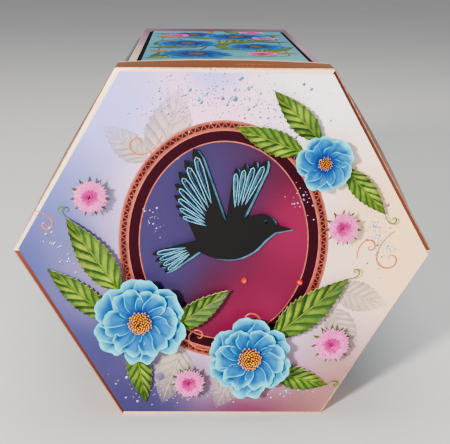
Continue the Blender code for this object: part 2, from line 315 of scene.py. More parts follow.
def dress(piece: Piece, material: Material) -> None:
    """Gives a piece one material and nothing else.

    Args:
        piece: The piece.
        material: Its finish.
    """
    piece.data.materials.clear()
    piece.data.materials.append(material)
    for polygon in piece.data.polygons:
        polygon.material_index = 0


def hand_over(piece: Piece, slot: str, *nodes: str) -> None:
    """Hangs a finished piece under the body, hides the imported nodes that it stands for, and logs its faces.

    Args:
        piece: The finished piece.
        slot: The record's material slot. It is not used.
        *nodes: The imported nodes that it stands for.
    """
    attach(piece, BODY)
    if nodes:
        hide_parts(*nodes)
    LOG.info("%s: %d faces", piece.name, len(piece.data.polygons))


class Mix:
    """Short ways to add and join shader nodes, in a material or in a node group."""

    def __init__(self, tree: bpy.types.NodeTree) -> None:
        """Starts on a node tree."""
        self.tree = tree

    @classmethod
    def material(cls, name: str) -> tuple[Material, "Mix", bpy.types.Node]:
        """Starts a material.

        Args:
            name: The material's name.

        Returns:
            The material, a mixer on its nodes, and its shader.
        """
        made = bpy.data.materials.new(name)
        made.use_nodes = True
        return made, cls(made.node_tree), made.node_tree.nodes["Principled BSDF"]

    def add(self, kind: str, inputs: dict | None = None, **settings: object) -> bpy.types.Node:
        """Adds a node.

        Args:
            kind: The node's type, without its Shader Node prefix.
            inputs: Its inputs by name or place, each a value or another node's output.
            **settings: Its own properties.

        Returns:
            The node.
        """
        node = self.tree.nodes.new("ShaderNode" + kind)
        for key, value in settings.items():
            setattr(node, key, value)
        self.fill(node, inputs or {})
        return node

    def fill(self, node: bpy.types.Node, inputs: dict) -> None:
        """Fills inputs of a node, by name or place, each with a value or another node's output."""
        for key, value in inputs.items():
            self.put(node.inputs[key], value)

    def put(self, socket: Socket, value: object) -> None:
        """Joins an output to a socket, or sets the socket's own value.

        Args:
            socket: An input of a node.
            value: Another node's output, or a plain value.
        """
        if isinstance(value, Socket):
            self.tree.links.new(value, socket)
        elif socket.type == "RGBA":
            socket.default_value = (*value[:3], 1.0)
        else:
            socket.default_value = value

    def maths(self, operation: str, *values: object, clamp: bool = False) -> Socket:
        """The result of a Math node."""
        return self.add("Math", dict(enumerate(values)), operation=operation, use_clamp=clamp).outputs[0]

    def times(self, first: object, second: object, clamp: bool = False) -> Socket:
        """A product."""
        return self.maths("MULTIPLY", first, second, clamp=clamp)

    def plus(self, first: object, second: object, clamp: bool = False) -> Socket:
        """A sum."""
        return self.maths("ADD", first, second, clamp=clamp)

    def minus(self, first: object, second: object) -> Socket:
        """A difference."""
        return self.maths("SUBTRACT", first, second)

    def blend(self, share: object, first: object, second: object, kind: str = "MIX") -> Socket:
        """A colour between two, or their product or sum."""
        inputs = {0: share, 6: first, 7: second}
        return self.add("Mix", inputs, data_type="RGBA", blend_type=kind).outputs[2]

    def step(self, value: object, low: float, high: float) -> Socket:
        """A soft step of a value, from 0 at low to 1 at high."""
        inputs = {0: value, 1: low, 2: high, 3: 0.0, 4: 1.0}
        return self.add("MapRange", inputs, interpolation_type="SMOOTHSTEP").outputs[0]

    def ramp(self, value: object, stops: Sequence[tuple[float, Colour]]) -> Socket:
        """A colour read off a ramp.

        Args:
            value: Where on the ramp it is read, from 0 to 1.
            stops: The ramp's places, each with its colour.

        Returns:
            The colour.
        """
        node = self.add("ValToRGB", {0: value})
        bar = node.color_ramp.elements
        while len(bar) < len(stops):
            bar.new(0.5)
        for element, (place, colour) in zip(bar, stops):
            element.position = place
            element.color = (*colour, 1.0)
        return node.outputs[0]

    def noise(self, vector: object, scale: object, detail: float = 2.0, rough: float = 0.5) -> Socket:
        """The value of a noise."""
        inputs = {"Vector": vector, "Scale": scale, "Detail": detail, "Roughness": rough}
        return self.add("TexNoise", inputs).outputs[0]

    def group(self, tree: bpy.types.NodeTree, **inputs: object) -> bpy.types.Node:
        """Places a node group.

        Args:
            tree: The group.
            **inputs: Its inputs by name.

        Returns:
            The node that holds it.
        """
        node = self.tree.nodes.new("ShaderNodeGroup")
        node.node_tree = tree
        self.fill(node, inputs)
        return node

    def relief(self, shader: bpy.types.Node, height: object, depth: float, strength: float = 1.0) -> None:
        """Raises a material's surface by a depth in metres, as far as the height, from 0 to 1, says."""
        bump = self.add("Bump", {"Distance": depth, "Strength": strength, "Height": height})
        self.put(shader.inputs["Normal"], bump.outputs[0])

    def place(self) -> Socket:
        """Object coordinates."""
        return self.add("TexCoord").outputs["Object"]

    def shares(self) -> tuple[Socket, Socket]:
        """How far across and along the piece's own map a point is."""
        apart = self.add("SeparateXYZ", {0: self.add("UVMap", uv_map="UVMap").outputs[0]})
        return apart.outputs[0], apart.outputs[1]


class Effects:
    """The shader node groups that several finishes use. Each is built once, when it is first needed."""

    @staticmethod
    def new_group(
        name: str, takes: Sequence[tuple[str, str]], gives: Sequence[str],
    ) -> tuple[Mix, dict[str, Socket], dict[str, Socket]]:
        """Starts a node group.

        Args:
            name: Its name.
            takes: Each input's name and kind.
            gives: Each output's name. All are plain numbers.

        Returns:
            The mixer, the inputs by name and the output sockets by name.
        """
        tree = bpy.data.node_groups.new(name, "ShaderNodeTree")
        for title, kind in takes:
            tree.interface.new_socket(title, in_out="INPUT", socket_type="NodeSocket" + kind)
        for title in gives:
            tree.interface.new_socket(title, in_out="OUTPUT", socket_type="NodeSocketFloat")
        entry = tree.nodes.new("NodeGroupInput")
        leave = tree.nodes.new("NodeGroupOutput")
        taken = {socket.name: socket for socket in entry.outputs if socket.name}
        given = {socket.name: socket for socket in leave.inputs if socket.name}
        return Mix(tree), taken, given

    @classmethod
    @cache
    def grain(cls) -> bpy.types.NodeTree:
        """The tooth and the short fibres of printed card, as a shade and a height.

        Returns:
            The group.
        """
        takes = (("Vector", "Vector"), ("Scale", "Float"))
        mix, take, give = cls.new_group("card grain", takes, ("Shade", "Height"))
        tooth = mix.noise(take["Vector"], take["Scale"], 3.0, 0.6)
        stretch = {0: take["Vector"], 1: (1.0, 1.0, 0.22)}
        long_way = mix.add("VectorMath", stretch, operation="MULTIPLY").outputs[0]
        fibre = mix.noise(long_way, take["Scale"], 2.0, 0.5)
        height = mix.plus(mix.times(tooth, 0.6), mix.times(fibre, 0.4))
        mix.put(give["Height"], height)
        mix.put(give["Shade"], mix.plus(mix.times(height, 0.5), 0.75))
        return mix.tree

    @classmethod
    @cache
    def wash(cls) -> bpy.types.NodeTree:
        """A soft round cloud, 1 in its middle and 0 past its reach, with a wavering edge.

        Returns:
            The group.
        """
        takes = (("Vector", "Vector"), ("Middle", "Vector"), ("Reach", "Float"))
        mix, take, give = cls.new_group("soft wash", takes, ("Share",))
        ends = {0: take["Vector"], 1: take["Middle"]}
        apart = mix.add("VectorMath", ends, operation="DISTANCE").outputs["Value"]
        waver = mix.times(mix.minus(mix.noise(take["Vector"], 14.0, 3.0), 0.5), 0.5)
        far = mix.plus(mix.maths("DIVIDE", apart, take["Reach"]), waver)
        mix.put(give["Share"], mix.step(mix.minus(1.0, far), 0.0, 0.8))
        return mix.tree

    @classmethod
    @cache
    def veins(cls) -> bpy.types.NodeTree:
        """A midrib and side veins on a leaf's own map, 1 on a vein, and the swelling between them, also
        painted as light and shade.

        Returns:
            The group.
        """
        takes = (("Across", "Float"), ("Along", "Float"), ("Count", "Float"))
        mix, take, give = cls.new_group("leaf veins", takes, ("Vein", "Swell"))
        side = mix.maths("ABSOLUTE", mix.minus(take["Across"], 0.5))
        rib = mix.step(side, 0.035, 0.010)
        rise = mix.times(mix.minus(1.5, side), mix.times(side, 0.42))
        slope = mix.minus(take["Along"], rise)
        wave = mix.maths("FRACT", mix.times(slope, take["Count"]))
        line = mix.step(mix.maths("ABSOLUTE", mix.minus(wave, 0.5)), 0.10, 0.0)
        mix.put(give["Vein"], mix.maths("MAXIMUM", rib, mix.times(line, 0.75)))
        past = mix.maths("FRACT", mix.plus(wave, 0.5))
        swell = mix.times(mix.step(past, 0.0, 0.10), mix.step(past, 1.0, 0.40))
        mix.put(give["Swell"], mix.times(swell, mix.step(side, 0.0, 0.06)))
        return mix.tree

    @classmethod
    @cache
    def streaks(cls) -> bpy.types.NodeTree:
        """Lengthwise streaks and curling folds on a petal's own map, for painted shade in each fold and a
        painted highlight along it.

        Returns:
            The group.
        """
        takes = (("Across", "Float"), ("Along", "Float"), ("Count", "Float"), ("Waver", "Float"))
        mix, take, give = cls.new_group("petal streaks", takes, ("Streak", "Fold", "Lip"))
        lanes = mix.times(take["Across"], take["Count"])
        run = mix.add("CombineXYZ", {0: lanes, 1: take["Along"]})
        mix.put(give["Streak"], mix.step(mix.noise(run.outputs[0], 1.0, 4.0, 0.65), 0.32, 0.68))
        sway = mix.times(mix.maths("SINE", mix.times(take["Along"], 5.2)), 0.30)
        swayed = mix.plus(mix.times(take["Across"], 2.1), sway)
        bent = mix.plus(swayed, take["Waver"])
        saw = mix.maths("FRACT", bent)
        mid = mix.step(mix.maths("ABSOLUTE", mix.minus(take["Across"], 0.5)), 0.50, 0.38)
        shown = mix.times(mid, mix.step(take["Along"], 0.18, 0.42))
        fold = mix.times(mix.step(saw, 0.40, 0.96), mix.step(take["Along"], 1.02, 0.72))
        mix.put(give["Fold"], mix.times(fold, shown))
        mix.put(give["Lip"], mix.times(mix.step(saw, 0.10, 0.02), shown))
        return mix.tree


@dataclass(frozen=True)
class Wash:
    """A soft cloud of colour in a print: its middle, its reach and its colour."""

    middle: tuple[float, float, float]
    reach: float
    colour: Colour
    share: float = 1.0


@dataclass(frozen=True)
class PrintFinish:
    """Printed card: a ground colour, clouds of other colours, and the card's own grain."""

    name: str
    ground: Colour
    washes: tuple[Wash, ...] = ()
    roughness: float = 0.5
    coat: float = 0.0
    grain: float = 1400.0
    relief: float = 0.00006
    unevenness: float = 0.16
    gloss: float = 0.25

    def build(self) -> Material:
        """Mixes the material.

        Returns:
            The material.
        """
        material, mix, shader = Mix.material(self.name)
        place = mix.place()
        colour: object = self.ground
        for wash in self.washes:
            cloud = mix.group(Effects.wash(), Vector=place, Middle=wash.middle, Reach=wash.reach).outputs[0]
            if wash.share < 1.0:
                cloud = mix.times(cloud, wash.share)
            colour = mix.blend(cloud, colour, wash.colour)
        grain = mix.group(Effects.grain(), Vector=place, Scale=self.grain)
        shade = mix.add("CombineColor", {0: grain.outputs[0], 1: grain.outputs[0], 2: grain.outputs[0]})
        mix.fill(shader, {
            "Base Color": mix.blend(self.unevenness, colour, shade.outputs[0], "MULTIPLY"),
            "Roughness": mix.plus(mix.times(grain.outputs[1], 0.16), self.roughness - 0.08),
            "Specular IOR Level": self.gloss, "Coat Weight": self.coat, "Coat Roughness": 0.2})
        mix.relief(shader, grain.outputs[1], self.relief)
        return material


@dataclass(frozen=True)
class MirrorFinish:
    """Mirror card: rose copper foil with painted reflection and a faint orange-peel, rubbed pale on folds and
    free edge.
    """

    name: str
    deep: Colour
    foil: Colour
    pale: Colour
    worn: Colour
    rear: float
    rubbed_rim: float = 0.0016
    edge_fade: float = 0.0003
    roughness: float = 0.24
    pale_roughness: float = 0.50
    tint: Colour = (1.0, 0.74, 0.50)
    peel: float = 0.00003

    def build(self) -> Material:
        """Mixes the material.

        The mesh's "fold" is 1 on the folds. A face attribute gives the painted reflection, from 0, deep
        copper for a dark one, to 1, a pale, rougher and less metallic cream for a bright one. The foil is
        rubbed down to the card along the free edge, up to the rear, the lid's last place along Y.

        Returns:
            The material.
        """
        material, mix, shader = Mix.material(self.name)
        place = mix.place()
        fold = mix.add("Attribute", attribute_name="fold").outputs["Fac"]
        reflection_tone = mix.add("Attribute", attribute_name="reflection_tone").outputs["Fac"]
        rubbed = mix.step(mix.noise(place, 420.0, 4.0, 0.7), 0.44, 0.60)
        wear = mix.plus(mix.times(rubbed, 0.40), 0.42)
        worn = mix.times(fold, wear, clamp=True)
        back = mix.add("SeparateXYZ", {0: place}).outputs[1]
        waver = mix.times(mix.noise(place, 120.0), 0.0006)
        free_edge = self.rear - self.rubbed_rim
        edge = mix.step(mix.plus(back, waver), free_edge, free_edge + self.edge_fade)
        worn = mix.maths("MAXIMUM", worn, mix.times(edge, 0.8))
        cloud = mix.noise(place, 26.0, 3.0, 0.6)
        # Painted reflection: deep copper where a dark reflection is painted, pale cream where a bright one
        # is.
        foil = mix.ramp(reflection_tone, ((0.0, self.deep), (0.5, self.foil), (1.0, self.pale)))
        # Where the bright reflection is painted, the foil is made less metallic and rougher.
        pale = mix.step(reflection_tone, 0.5, 1.0)
        open_foil = mix.times(mix.minus(1.1, pale), 0.25)
        dim = mix.times(mix.step(cloud, 0.3, 0.7), open_foil)
        foil = mix.blend(dim, foil, self.deep)
        bare = mix.maths("MAXIMUM", mix.times(worn, 0.9), mix.times(pale, 0.8))
        haze = mix.plus(mix.times(cloud, 0.10), self.roughness - 0.05)
        softer = mix.times(pale, self.pale_roughness - self.roughness)
        haze = mix.plus(mix.plus(haze, softer), mix.times(worn, 0.4))
        mix.fill(shader, {
            "Base Color": mix.blend(worn, foil, self.worn), "Metallic": mix.minus(1.0, bare),
            "Roughness": haze, "Specular Tint": self.tint})
        peel = mix.group(Effects.grain(), Vector=place, Scale=260.0).outputs[1]
        mix.relief(shader, peel, self.peel)
        return material


@dataclass(frozen=True)
class StrandFinish:
    """Fine strands: a deep root that runs out into a pale tip, on the strand's own map."""

    name: str
    root: Colour
    middle: Colour
    tip: Colour

    def build(self) -> Material:
        """Mixes the material.

        Returns:
            The material.
        """
        material, mix, shader = Mix.material(self.name)
        along = mix.shares()[1]
        drift = mix.times(mix.minus(mix.noise(mix.place(), 500.0), 0.5), 0.5)
        run = mix.plus(along, drift)
        colour = mix.ramp(run, ((0.10, self.root), (0.58, self.middle), (0.95, self.tip)))
        mix.fill(shader, {"Base Color": colour, "Roughness": 0.5, "Specular IOR Level": 0.2})
        return material


@dataclass(frozen=True)
class PetalFinish:
    """A printed petal: colours from its base to its rim, streaks, a paler edge, and painted shade and
    highlights.
    """

    name: str
    base: Colour
    middle: Colour
    rim: Colour
    # The painted shadow round the stamens, at the petal's very base.
    dark: Colour
    streaks: float = 15.0
    depth: float = 0.85

    def build(self) -> Material:
        """Mixes the material on the piece's own map, across and along the petal.

        Returns:
            The material.
        """
        material, mix, shader = Mix.material(self.name)
        across, along = mix.shares()
        place = mix.place()
        drift = mix.minus(mix.noise(place, 90.0), 0.5)
        run = mix.plus(along, mix.times(drift, 0.30))
        # The darkest colour, at the very base, is painted shadow round the stamens.
        inner = ((0.0, self.dark), (0.20, self.base), (0.48, self.middle))
        colour = mix.ramp(run, (*inner, (0.74, self.middle), (1.0, self.rim)))
        waver = mix.times(mix.noise(place, 42.0, 1.0), 2.4)
        folds = mix.group(Effects.streaks(), Across=across, Along=along, Count=self.streaks, Waver=waver)
        streak, fold, lip = folds.outputs[0], folds.outputs[1], folds.outputs[2]
        near_base = mix.step(along, 1.0, 0.1)
        shade = mix.times(mix.times(streak, near_base), self.depth)
        # Painted shade in the folds.
        shade = mix.maths("MAXIMUM", shade, mix.times(fold, 0.72))
        colour = mix.blend(shade, colour, self.base)
        side = mix.maths("ABSOLUTE", mix.minus(across, 0.5))
        # Painted shade at the sides near the base, where the petals pass under one another.
        tuck_shade = mix.times(mix.step(side, 0.36, 0.50), mix.step(along, 1.0, 0.45))
        colour = mix.blend(mix.times(tuck_shade, 0.6), colour, self.base)
        # Painted highlight along the pale edge of each fold.
        edge = mix.maths("MAXIMUM", mix.step(along, 0.92, 0.985), mix.times(lip, 0.85))
        colour = mix.blend(mix.times(edge, 0.8), colour, self.rim)
        mix.fill(shader, {"Base Color": colour, "Roughness": 0.5, "Specular IOR Level": 0.08})
        height = mix.minus(mix.minus(1.0, mix.times(streak, 0.25)), fold)
        mix.relief(shader, height, 0.0007, 0.6)
        return material


@dataclass(frozen=True)
class LeafFinish:
    """A printed leaf: light green at its base and veins, painted light and shade between them, darker at its
    tip.
    """

    name: str
    light: Colour
    green: Colour
    dark: Colour
    veins: float = 7.0
    cover: float = 1.0

    def build(self) -> Material:
        """Mixes the material on the leaf's own map.

        Returns:
            The material.
        """
        material, mix, shader = Mix.material(self.name)
        across, along = mix.shares()
        place = mix.place()
        quilt = mix.group(Effects.veins(), Across=across, Along=along, Count=self.veins)
        vein, swell = quilt.outputs[0], quilt.outputs[1]
        mottle = mix.times(mix.minus(mix.noise(place, 130.0, 3.0, 0.6), 0.5), 1.3)
        # Painted light and shade: each swell is painted light just past a vein and darkens towards the next.
        depth = mix.plus(mix.plus(mix.times(swell, 0.55), 0.18), mottle)
        colour = mix.ramp(depth, ((0.08, self.dark), (0.48, self.green), (0.95, self.light)))
        side = mix.maths("ABSOLUTE", mix.minus(across, 0.5))
        rim = mix.plus(mix.step(side, 0.22, 0.52), mix.step(along, 0.50, 1.05), clamp=True)
        colour = mix.blend(mix.times(rim, 0.62), colour, self.dark)
        # Painted shade: the half past the midrib is painted darker.
        half = mix.times(mix.step(across, 0.50, 0.56), 0.42)
        colour = mix.blend(half, colour, self.green)
        rib = mix.times(mix.step(vein, 0.80, 1.0), 0.55)
        colour = mix.blend(rib, colour, self.light)
        mix.fill(shader, {"Base Color": colour, "Roughness": 0.45, "Specular IOR Level": 0.22})
        if self.cover < 1.0:
            fade = mix.times(mix.step(along, 1.15, 0.2), self.cover)
            firm = mix.times(vein, 0.25)
            mix.put(shader.inputs["Alpha"], mix.plus(fade, firm, clamp=True))
        mix.relief(shader, swell, 0.00018, 0.8)
        return material


@dataclass(frozen=True)
class DropFinish:
    """A clear droplet with painted shade below at its right, and a painted highlight above at its left, where
    light strikes it.
    """

    name: str
    shade: Colour
    body: Colour
    glint: Colour
    light: tuple[float, float, float] = (-0.55, -0.35, 0.75)

    def build(self) -> Material:
        """Mixes the material.

        Returns:
            The material.
        """
        material, mix, shader = Mix.material(self.name)
        # Painted light: the colour follows how each face turns to a fixed light direction.
        faced = mix.add("TexCoord").outputs["Normal"]
        lit = mix.add("VectorMath", {0: faced, 1: self.light}, operation="DOT_PRODUCT").outputs["Value"]
        drift = mix.times(mix.minus(mix.noise(mix.place(), 150.0), 0.5), 0.5)
        stops = ((0.05, self.shade), (0.40, self.body), (0.80, self.glint))
        colour = mix.ramp(mix.plus(lit, drift), stops)
        mix.fill(shader, {"Base Color": colour, "Roughness": 0.2, "Coat Weight": 0.6, "Coat Roughness": 0.05})
        return material


@dataclass(frozen=True)
class PlainFinish:
    """A small thing's finish: one colour that drifts to another in a noise."""

    name: str
    colour: Colour
    drift: Colour
    scale: float = 300.0
    roughness: float = 0.4
    metallic: float = 0.0
    coat: float = 0.0
    relief: float = 0.00008
    gloss: float = 0.5

    def build(self) -> Material:
        """Mixes the material.

        Returns:
            The material.
        """
        material, mix, shader = Mix.material(self.name)
        noise = mix.noise(mix.place(), self.scale, 3.0, 0.6)
        mix.fill(shader, {
            "Base Color": mix.blend(mix.step(noise, 0.3, 0.7), self.colour, self.drift),
            "Roughness": mix.plus(mix.times(noise, 0.12), self.roughness - 0.06), "Metallic": self.metallic,
            "Specular IOR Level": self.gloss, "Coat Weight": self.coat, "Coat Roughness": 0.05})
        mix.relief(shader, noise, self.relief)
        return material


class Paint(Enum):
    """The inks of the prints."""

    PERIWINKLE = ink(58, 66, 126)
    SKY_BLUE = ink(118, 124, 200)
    DEEP_PERIWINKLE = ink(46, 48, 102)
    BLUE_VIOLET = ink(42, 36, 82)
    PALE_PINK = ink(250, 184, 226)
    SKY_LILAC = ink(168, 162, 240)
    ROSE_VIOLET = ink(100, 34, 62)
    CREAM = ink(250, 204, 150)
    PINK_BEIGE = ink(146, 97, 92)
    PALE = ink(252, 240, 240)
    PLUM = ink(40, 8, 26)
    BURGUNDY = ink(84, 6, 38)
    MAGENTA = ink(112, 8, 52)
    DUSK = ink(46, 38, 80)
    LILAC = ink(214, 180, 220)


@dataclass(frozen=True)
class Front:
    """The lid's front: the middle of its face, and the length of its sides."""

    middle: Vector
    side: float

    @classmethod
    def of_frame(cls) -> "Front":
        """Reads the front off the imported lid, which stands on the ground with one side flat.

        Returns:
            The front.
        """
        low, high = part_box("lid")
        side = (high[0] - low[0]) / 2
        middle = Vector(((low[0] + high[0]) / 2, low[1], low[2] + side * ROOT_3 / 2))
        return cls(middle, side)

    def stand(self, place: Pair, height: float, turn: float = 0.0) -> Matrix:
        """Where a thing modelled flat, facing up, goes on the front, turned anticlockwise there."""
        spot = self.middle + Vector((place[0] * self.side, -height, place[1] * self.side))
        return Matrix.Translation(spot) @ Matrix.Rotation(math.pi / 2, 4, "X") @ Matrix.Rotation(turn, 4, "Z")

    def seat(self, node: str) -> float:
        """How far in front of the face a node's back lies."""
        return self.middle.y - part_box(node)[1][1]

    def spot(self, node: str) -> Pair:
        """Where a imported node's middle is.

        Args:
            node: The node.

        Returns:
            The place across and up, as shares of the side.
        """
        low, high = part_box(node)
        across = (low[0] + high[0]) / 2 - self.middle.x
        up = (low[2] + high[2]) / 2 - self.middle.z
        return across / self.side, up / self.side

    def rise(self, node: str) -> float:
        """How far in front of the face a node's front lies."""
        return self.middle.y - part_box(node)[0][1]


@dataclass
class Lid:
    """The copper lid: a face and six bowed rims of mirror card, with rounded scored folds.

    The tones are painted reflection, from 0 for deep copper to 1 for pale. They and the folds' wear are given
    for each side in turn: upper right, top, upper left, lower left, bottom, lower right.
    """

    fold_radius: float = 0.0006
    fold_steps: int = 3
    fold_angle: float = math.radians(50)
    corner_angle: float = math.radians(40)
    smooth_degrees: float = 24.0
    border: float = 0.008
    worn_depth: float = 0.0015
    cut_edge_depth: float = 0.004
    # Painted reflection: how deep or pale each side of the face's border and of the rims is painted.
    face_reflection_tones: tuple[float, ...] = (0.09, 1.0, 1.0, 0.02, 0.9, 0.8)
    rim_reflection_tones: tuple[float, ...] = (0.22, 0.5, 0.40, 0.25, 0.5, 0.5)
    fold_wear: tuple[float, ...] = (0.45, 1.0, 1.0, 0.30, 1.0, 1.0)

    def build(self, finish: Material, core: Material) -> None:
        """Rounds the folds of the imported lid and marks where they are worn.

        Args:
            finish: The mirror card.
            core: The card's cut edge.
        """
        piece = copy_node("lid_card", "lid")
        face_y = min(vert.co.y for vert in piece.data.vertices)
        open_mesh(piece, "DESELECT")
        work = bmesh.from_edit_mesh(piece.data)
        for edge in work.edges:
            on_face = all(vert.co.y < face_y + SLACK for vert in edge.verts)
            if on_face and edge.calc_face_angle(0.0) > self.fold_angle:
                edge.select_set(True)
            elif self.is_corner_fold(edge):
                edge.select_set(True)
        bmesh.update_edit_mesh(piece.data)
        bpy.ops.mesh.bevel(offset=self.fold_radius, segments=self.fold_steps, profile=0.5, affect="EDGES")
        bpy.ops.object.mode_set(mode="OBJECT")
        self.inset_face(piece)
        self.mark(piece, face_y)
        soften(piece, self.smooth_degrees)
        dress(piece, finish)
        piece.data.materials.append(core)
        rear = max(vert.co.y for vert in piece.data.vertices)
        for polygon in piece.data.polygons:
            if polygon.normal.y > 0.9 and polygon.center.y > rear - self.cut_edge_depth:
                polygon.material_index = 1
        hand_over(piece, "copper_mirror_card", "lid")

    def is_corner_fold(self, edge: bmesh.types.BMEdge) -> bool:
        """Whether an edge is a fold between two rims, on the outside.

        Args:
            edge: An edge of the lid.

        Returns:
            True where it runs back from the face and its faces meet sharply.
        """
        first, second = (vert.co for vert in edge.verts)
        runs_back = abs(first.y - second.y) > 5 * max(abs(first.x - second.x), abs(first.z - second.z))
        return runs_back and self.corner_angle < edge.calc_face_angle_signed(0.0)

    def inset_face(self, piece: Piece) -> None:
        """Gives the face a border on each side, which runs in under the print.

        Args:
            piece: The lid.
        """
        open_mesh(piece, "DESELECT")
        work = bmesh.from_edit_mesh(piece.data)
        front = max((face for face in work.faces if face.normal.y < -0.99), key=lambda face: face.calc_area())
        front.select_set(True)
        bmesh.update_edit_mesh(piece.data)
        bpy.ops.mesh.inset(thickness=self.border)
        bpy.ops.object.mode_set(mode="OBJECT")

    def mark(self, piece: Piece, face_y: float) -> None:
        """Gives each face its share of wear on the folds, and how deep or pale its side's painted reflection
        is.

        Args:
            piece: The lid.
            face_y: Where the lid's face lies along Y.
        """
        mesh = piece.data
        fold = mesh.attributes.new("fold", "FLOAT", "FACE")
        reflection_tone = mesh.attributes.new("reflection_tone", "FLOAT", "FACE")
        middle_z = sum(corner[2] for corner in piece.bound_box) / 8
        for polygon in mesh.polygons:
            tilt = abs(polygon.normal.y)
            near = polygon.center.y < face_y + self.worn_depth
            turn = math.atan2(polygon.center.z - middle_z, polygon.center.x) % (2 * math.pi)
            side = int(turn / (math.pi / 3)) % 6
            fold.data[polygon.index].value = self.fold_wear[side] if near and 0.2 < tilt < 0.98 else 0.0
            flat = near and polygon.normal.y < -0.98
            # Painted reflection: the border's and the rims' depth or paleness, side by side.
            reflection_tone.data[polygon.index].value = (self.face_reflection_tones if flat else self.rim_reflection_tones)[side]


@dataclass
class Body:
    """The box's body in pastel printed card, with soft folds."""

    fold_radius: float = 0.0008
    fold_steps: int = 3
    fold_angle: float = math.radians(40)
    shortest_fold: float = 0.01
    smooth_degrees: float = 24.0
    mouth_margin: float = 0.001

    def build(self, finish: Material) -> None:
        """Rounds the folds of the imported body.

        Args:
            finish: The pastel print.
        """
        piece = copy_node("body_card", "box_body")
        open_mesh(piece, "DESELECT")
        work = bmesh.from_edit_mesh(piece.data)
        for edge in work.edges:
            if edge.calc_face_angle_signed(0.0) > self.fold_angle and edge.calc_length() > self.shortest_fold:
                edge.select_set(self.is_outside(edge, work))
        bmesh.update_edit_mesh(piece.data)
        bpy.ops.mesh.bevel(offset=self.fold_radius, segments=self.fold_steps, profile=0.5, affect="EDGES")
        bpy.ops.object.mode_set(mode="OBJECT")
        soften(piece, self.smooth_degrees)
        dress(piece, finish)
        hand_over(piece, "pastel_card", "box_body")

    def is_outside(self, edge: bmesh.types.BMEdge, work: bmesh.types.BMesh) -> bool:
        """Whether an edge belongs to the outer skin, and not to the rim of the open end."""
        mouth = min(vert.co.y for vert in work.verts)
        return max(vert.co.y for vert in edge.verts) > mouth + self.mouth_margin


def leaf_sheet(
    name: str, length: float, width: float, fold: float, teeth: int, card: float,
    stock: Stock | None = None, fine: int = 5,
) -> Piece:
    """A toothed leaf, folded along its midrib. It lies from the origin along +Y and faces up.

    Args:
        name: Its name.
        length: From base to tip.
        width: At its widest.
        fold: How far its edges rise.
        teeth: How many teeth each edge has.
        card: Its thickness.
        stock: Its print and cut edge.
        fine: Rows of faces for each tooth.

    Returns:
        The leaf.
    """
    def rule(across: float, along: float) -> Sequence[float]:
        """Swells from the base to a third of the length, and has a groove at the midrib and at each vein."""
        side = 2 * across - 1
        swell = math.sin(math.pi * min(1.0, along ** 0.72)) ** 0.85 if 0 < along < 1 else 0.0
        saw = (along * teeth) % 1.0 if 0 < along < 1 else 1.0
        half = width / 2 * swell * (1 - 0.15 * (1 - saw) * abs(side) ** 3)
        vein = abs(((along - 0.21 * abs(side)) * teeth * 0.7) % 1.0 - 0.5) * 2
        groove = 0.05 * fold * min(1.0, 3 * vein) + 0.10 * fold * min(1.0, 8 * abs(side))
        rise = fold * 0.85 * abs(side) * math.sin(math.pi * along) + groove
        lean = 0.16 * half * abs(side) * (1 - along)
        return half * side, length * along + lean, rise

    leaf = bend(new_grid(name, 12, teeth * fine), rule)
    return soften(turn_outward(thicken(leaf, card, stock)), 40.0)


@dataclass(frozen=True)
class Ring:
    """A ring of overlapping petals, cut from card and cupped, around the origin and facing up."""

    count: int
    hub: float
    reach: float
    top: float
    first: float
    card: float = 0.0005
    span: float = 1.209524
    round_off: float = 0.40
    ruffle: float = 0.0010
    columns: int = 22
    rows: int = 18

    def petal(self, name: str, chance: random.Random, stock: Stock) -> Piece:
        """One petal along +Y, with its own ruffles.

        Args:
            name: Its name.
            chance: Where the ruffles come from.
            stock: Its print and cut edge.

        Returns:
            The petal.
        """
        phase, waves, notch = (chance.uniform(*limits) for limits in ((0, 6.28), (2.4, 3.6), (0.0, 0.08)))
        span = self.span * 2 * math.pi / self.count * chance.uniform(0.92, 1.10)
        full, lean, skew = (chance.uniform(*limits) for limits in ((0.93, 1.0), (-0.04, 0.04), (-0.10, 0.10)))
        ceiling = self.top - self.card

        def rule(across: float, along: float) -> Sequence[float]:
            """Fans out from the hub to a wavy rim, and cups upwards on the way."""
            side = 2 * across - 1
            rim = full * (1 - self.round_off * abs(side + skew * (1 - side * side)) ** 3.2)
            rim -= notch * math.exp(-((side - skew) / 0.16) ** 2)
            rim += 0.026 * math.sin(9 * side + phase) + 0.012 * math.sin(21 * side - phase)
            far = self.hub + (self.reach - self.hub) * along * min(1.0, rim + 0.4 * (1 - along))
            turn = side * span / 2 * (0.62 + 0.38 * math.sin(math.pi / 2 * min(1.0, 1.4 * along))) + lean
            turn += 0.035 * math.sin(5.5 * along + phase) * abs(side)
            out = (far - self.hub) / (self.reach - self.hub)
            rise = (ceiling - self.ruffle) * out ** 1.7
            rise += self.ruffle * along ** 2 * math.sin(waves * math.pi * side + phase)
            rise += 0.32 * self.card * 2 * side * along
            return far * math.sin(turn), far * math.cos(turn), max(0.0, min(ceiling, rise))

        petal = bend(new_grid(name, self.columns, self.rows), rule)
        return thicken(petal, self.card, stock)

    def build(self, name: str, chance: random.Random, stock: Stock) -> Piece:
        """Builds all petals of the ring as one piece.

        Args:
            name: Its name.
            chance: Where the petals' ruffles come from.
            stock: Its print and cut edge.

        Returns:
            The ring.
        """
        petals = []
        for index in range(self.count):
            petal = self.petal(f"{name}_{index}", chance, stock)
            turn = self.first + index * 2 * math.pi / self.count - math.pi / 2
            petal.data.transform(Matrix.Rotation(turn, 4, "Z"))
            petals.append(petal)
        return soften(join(name, petals), 50.0)


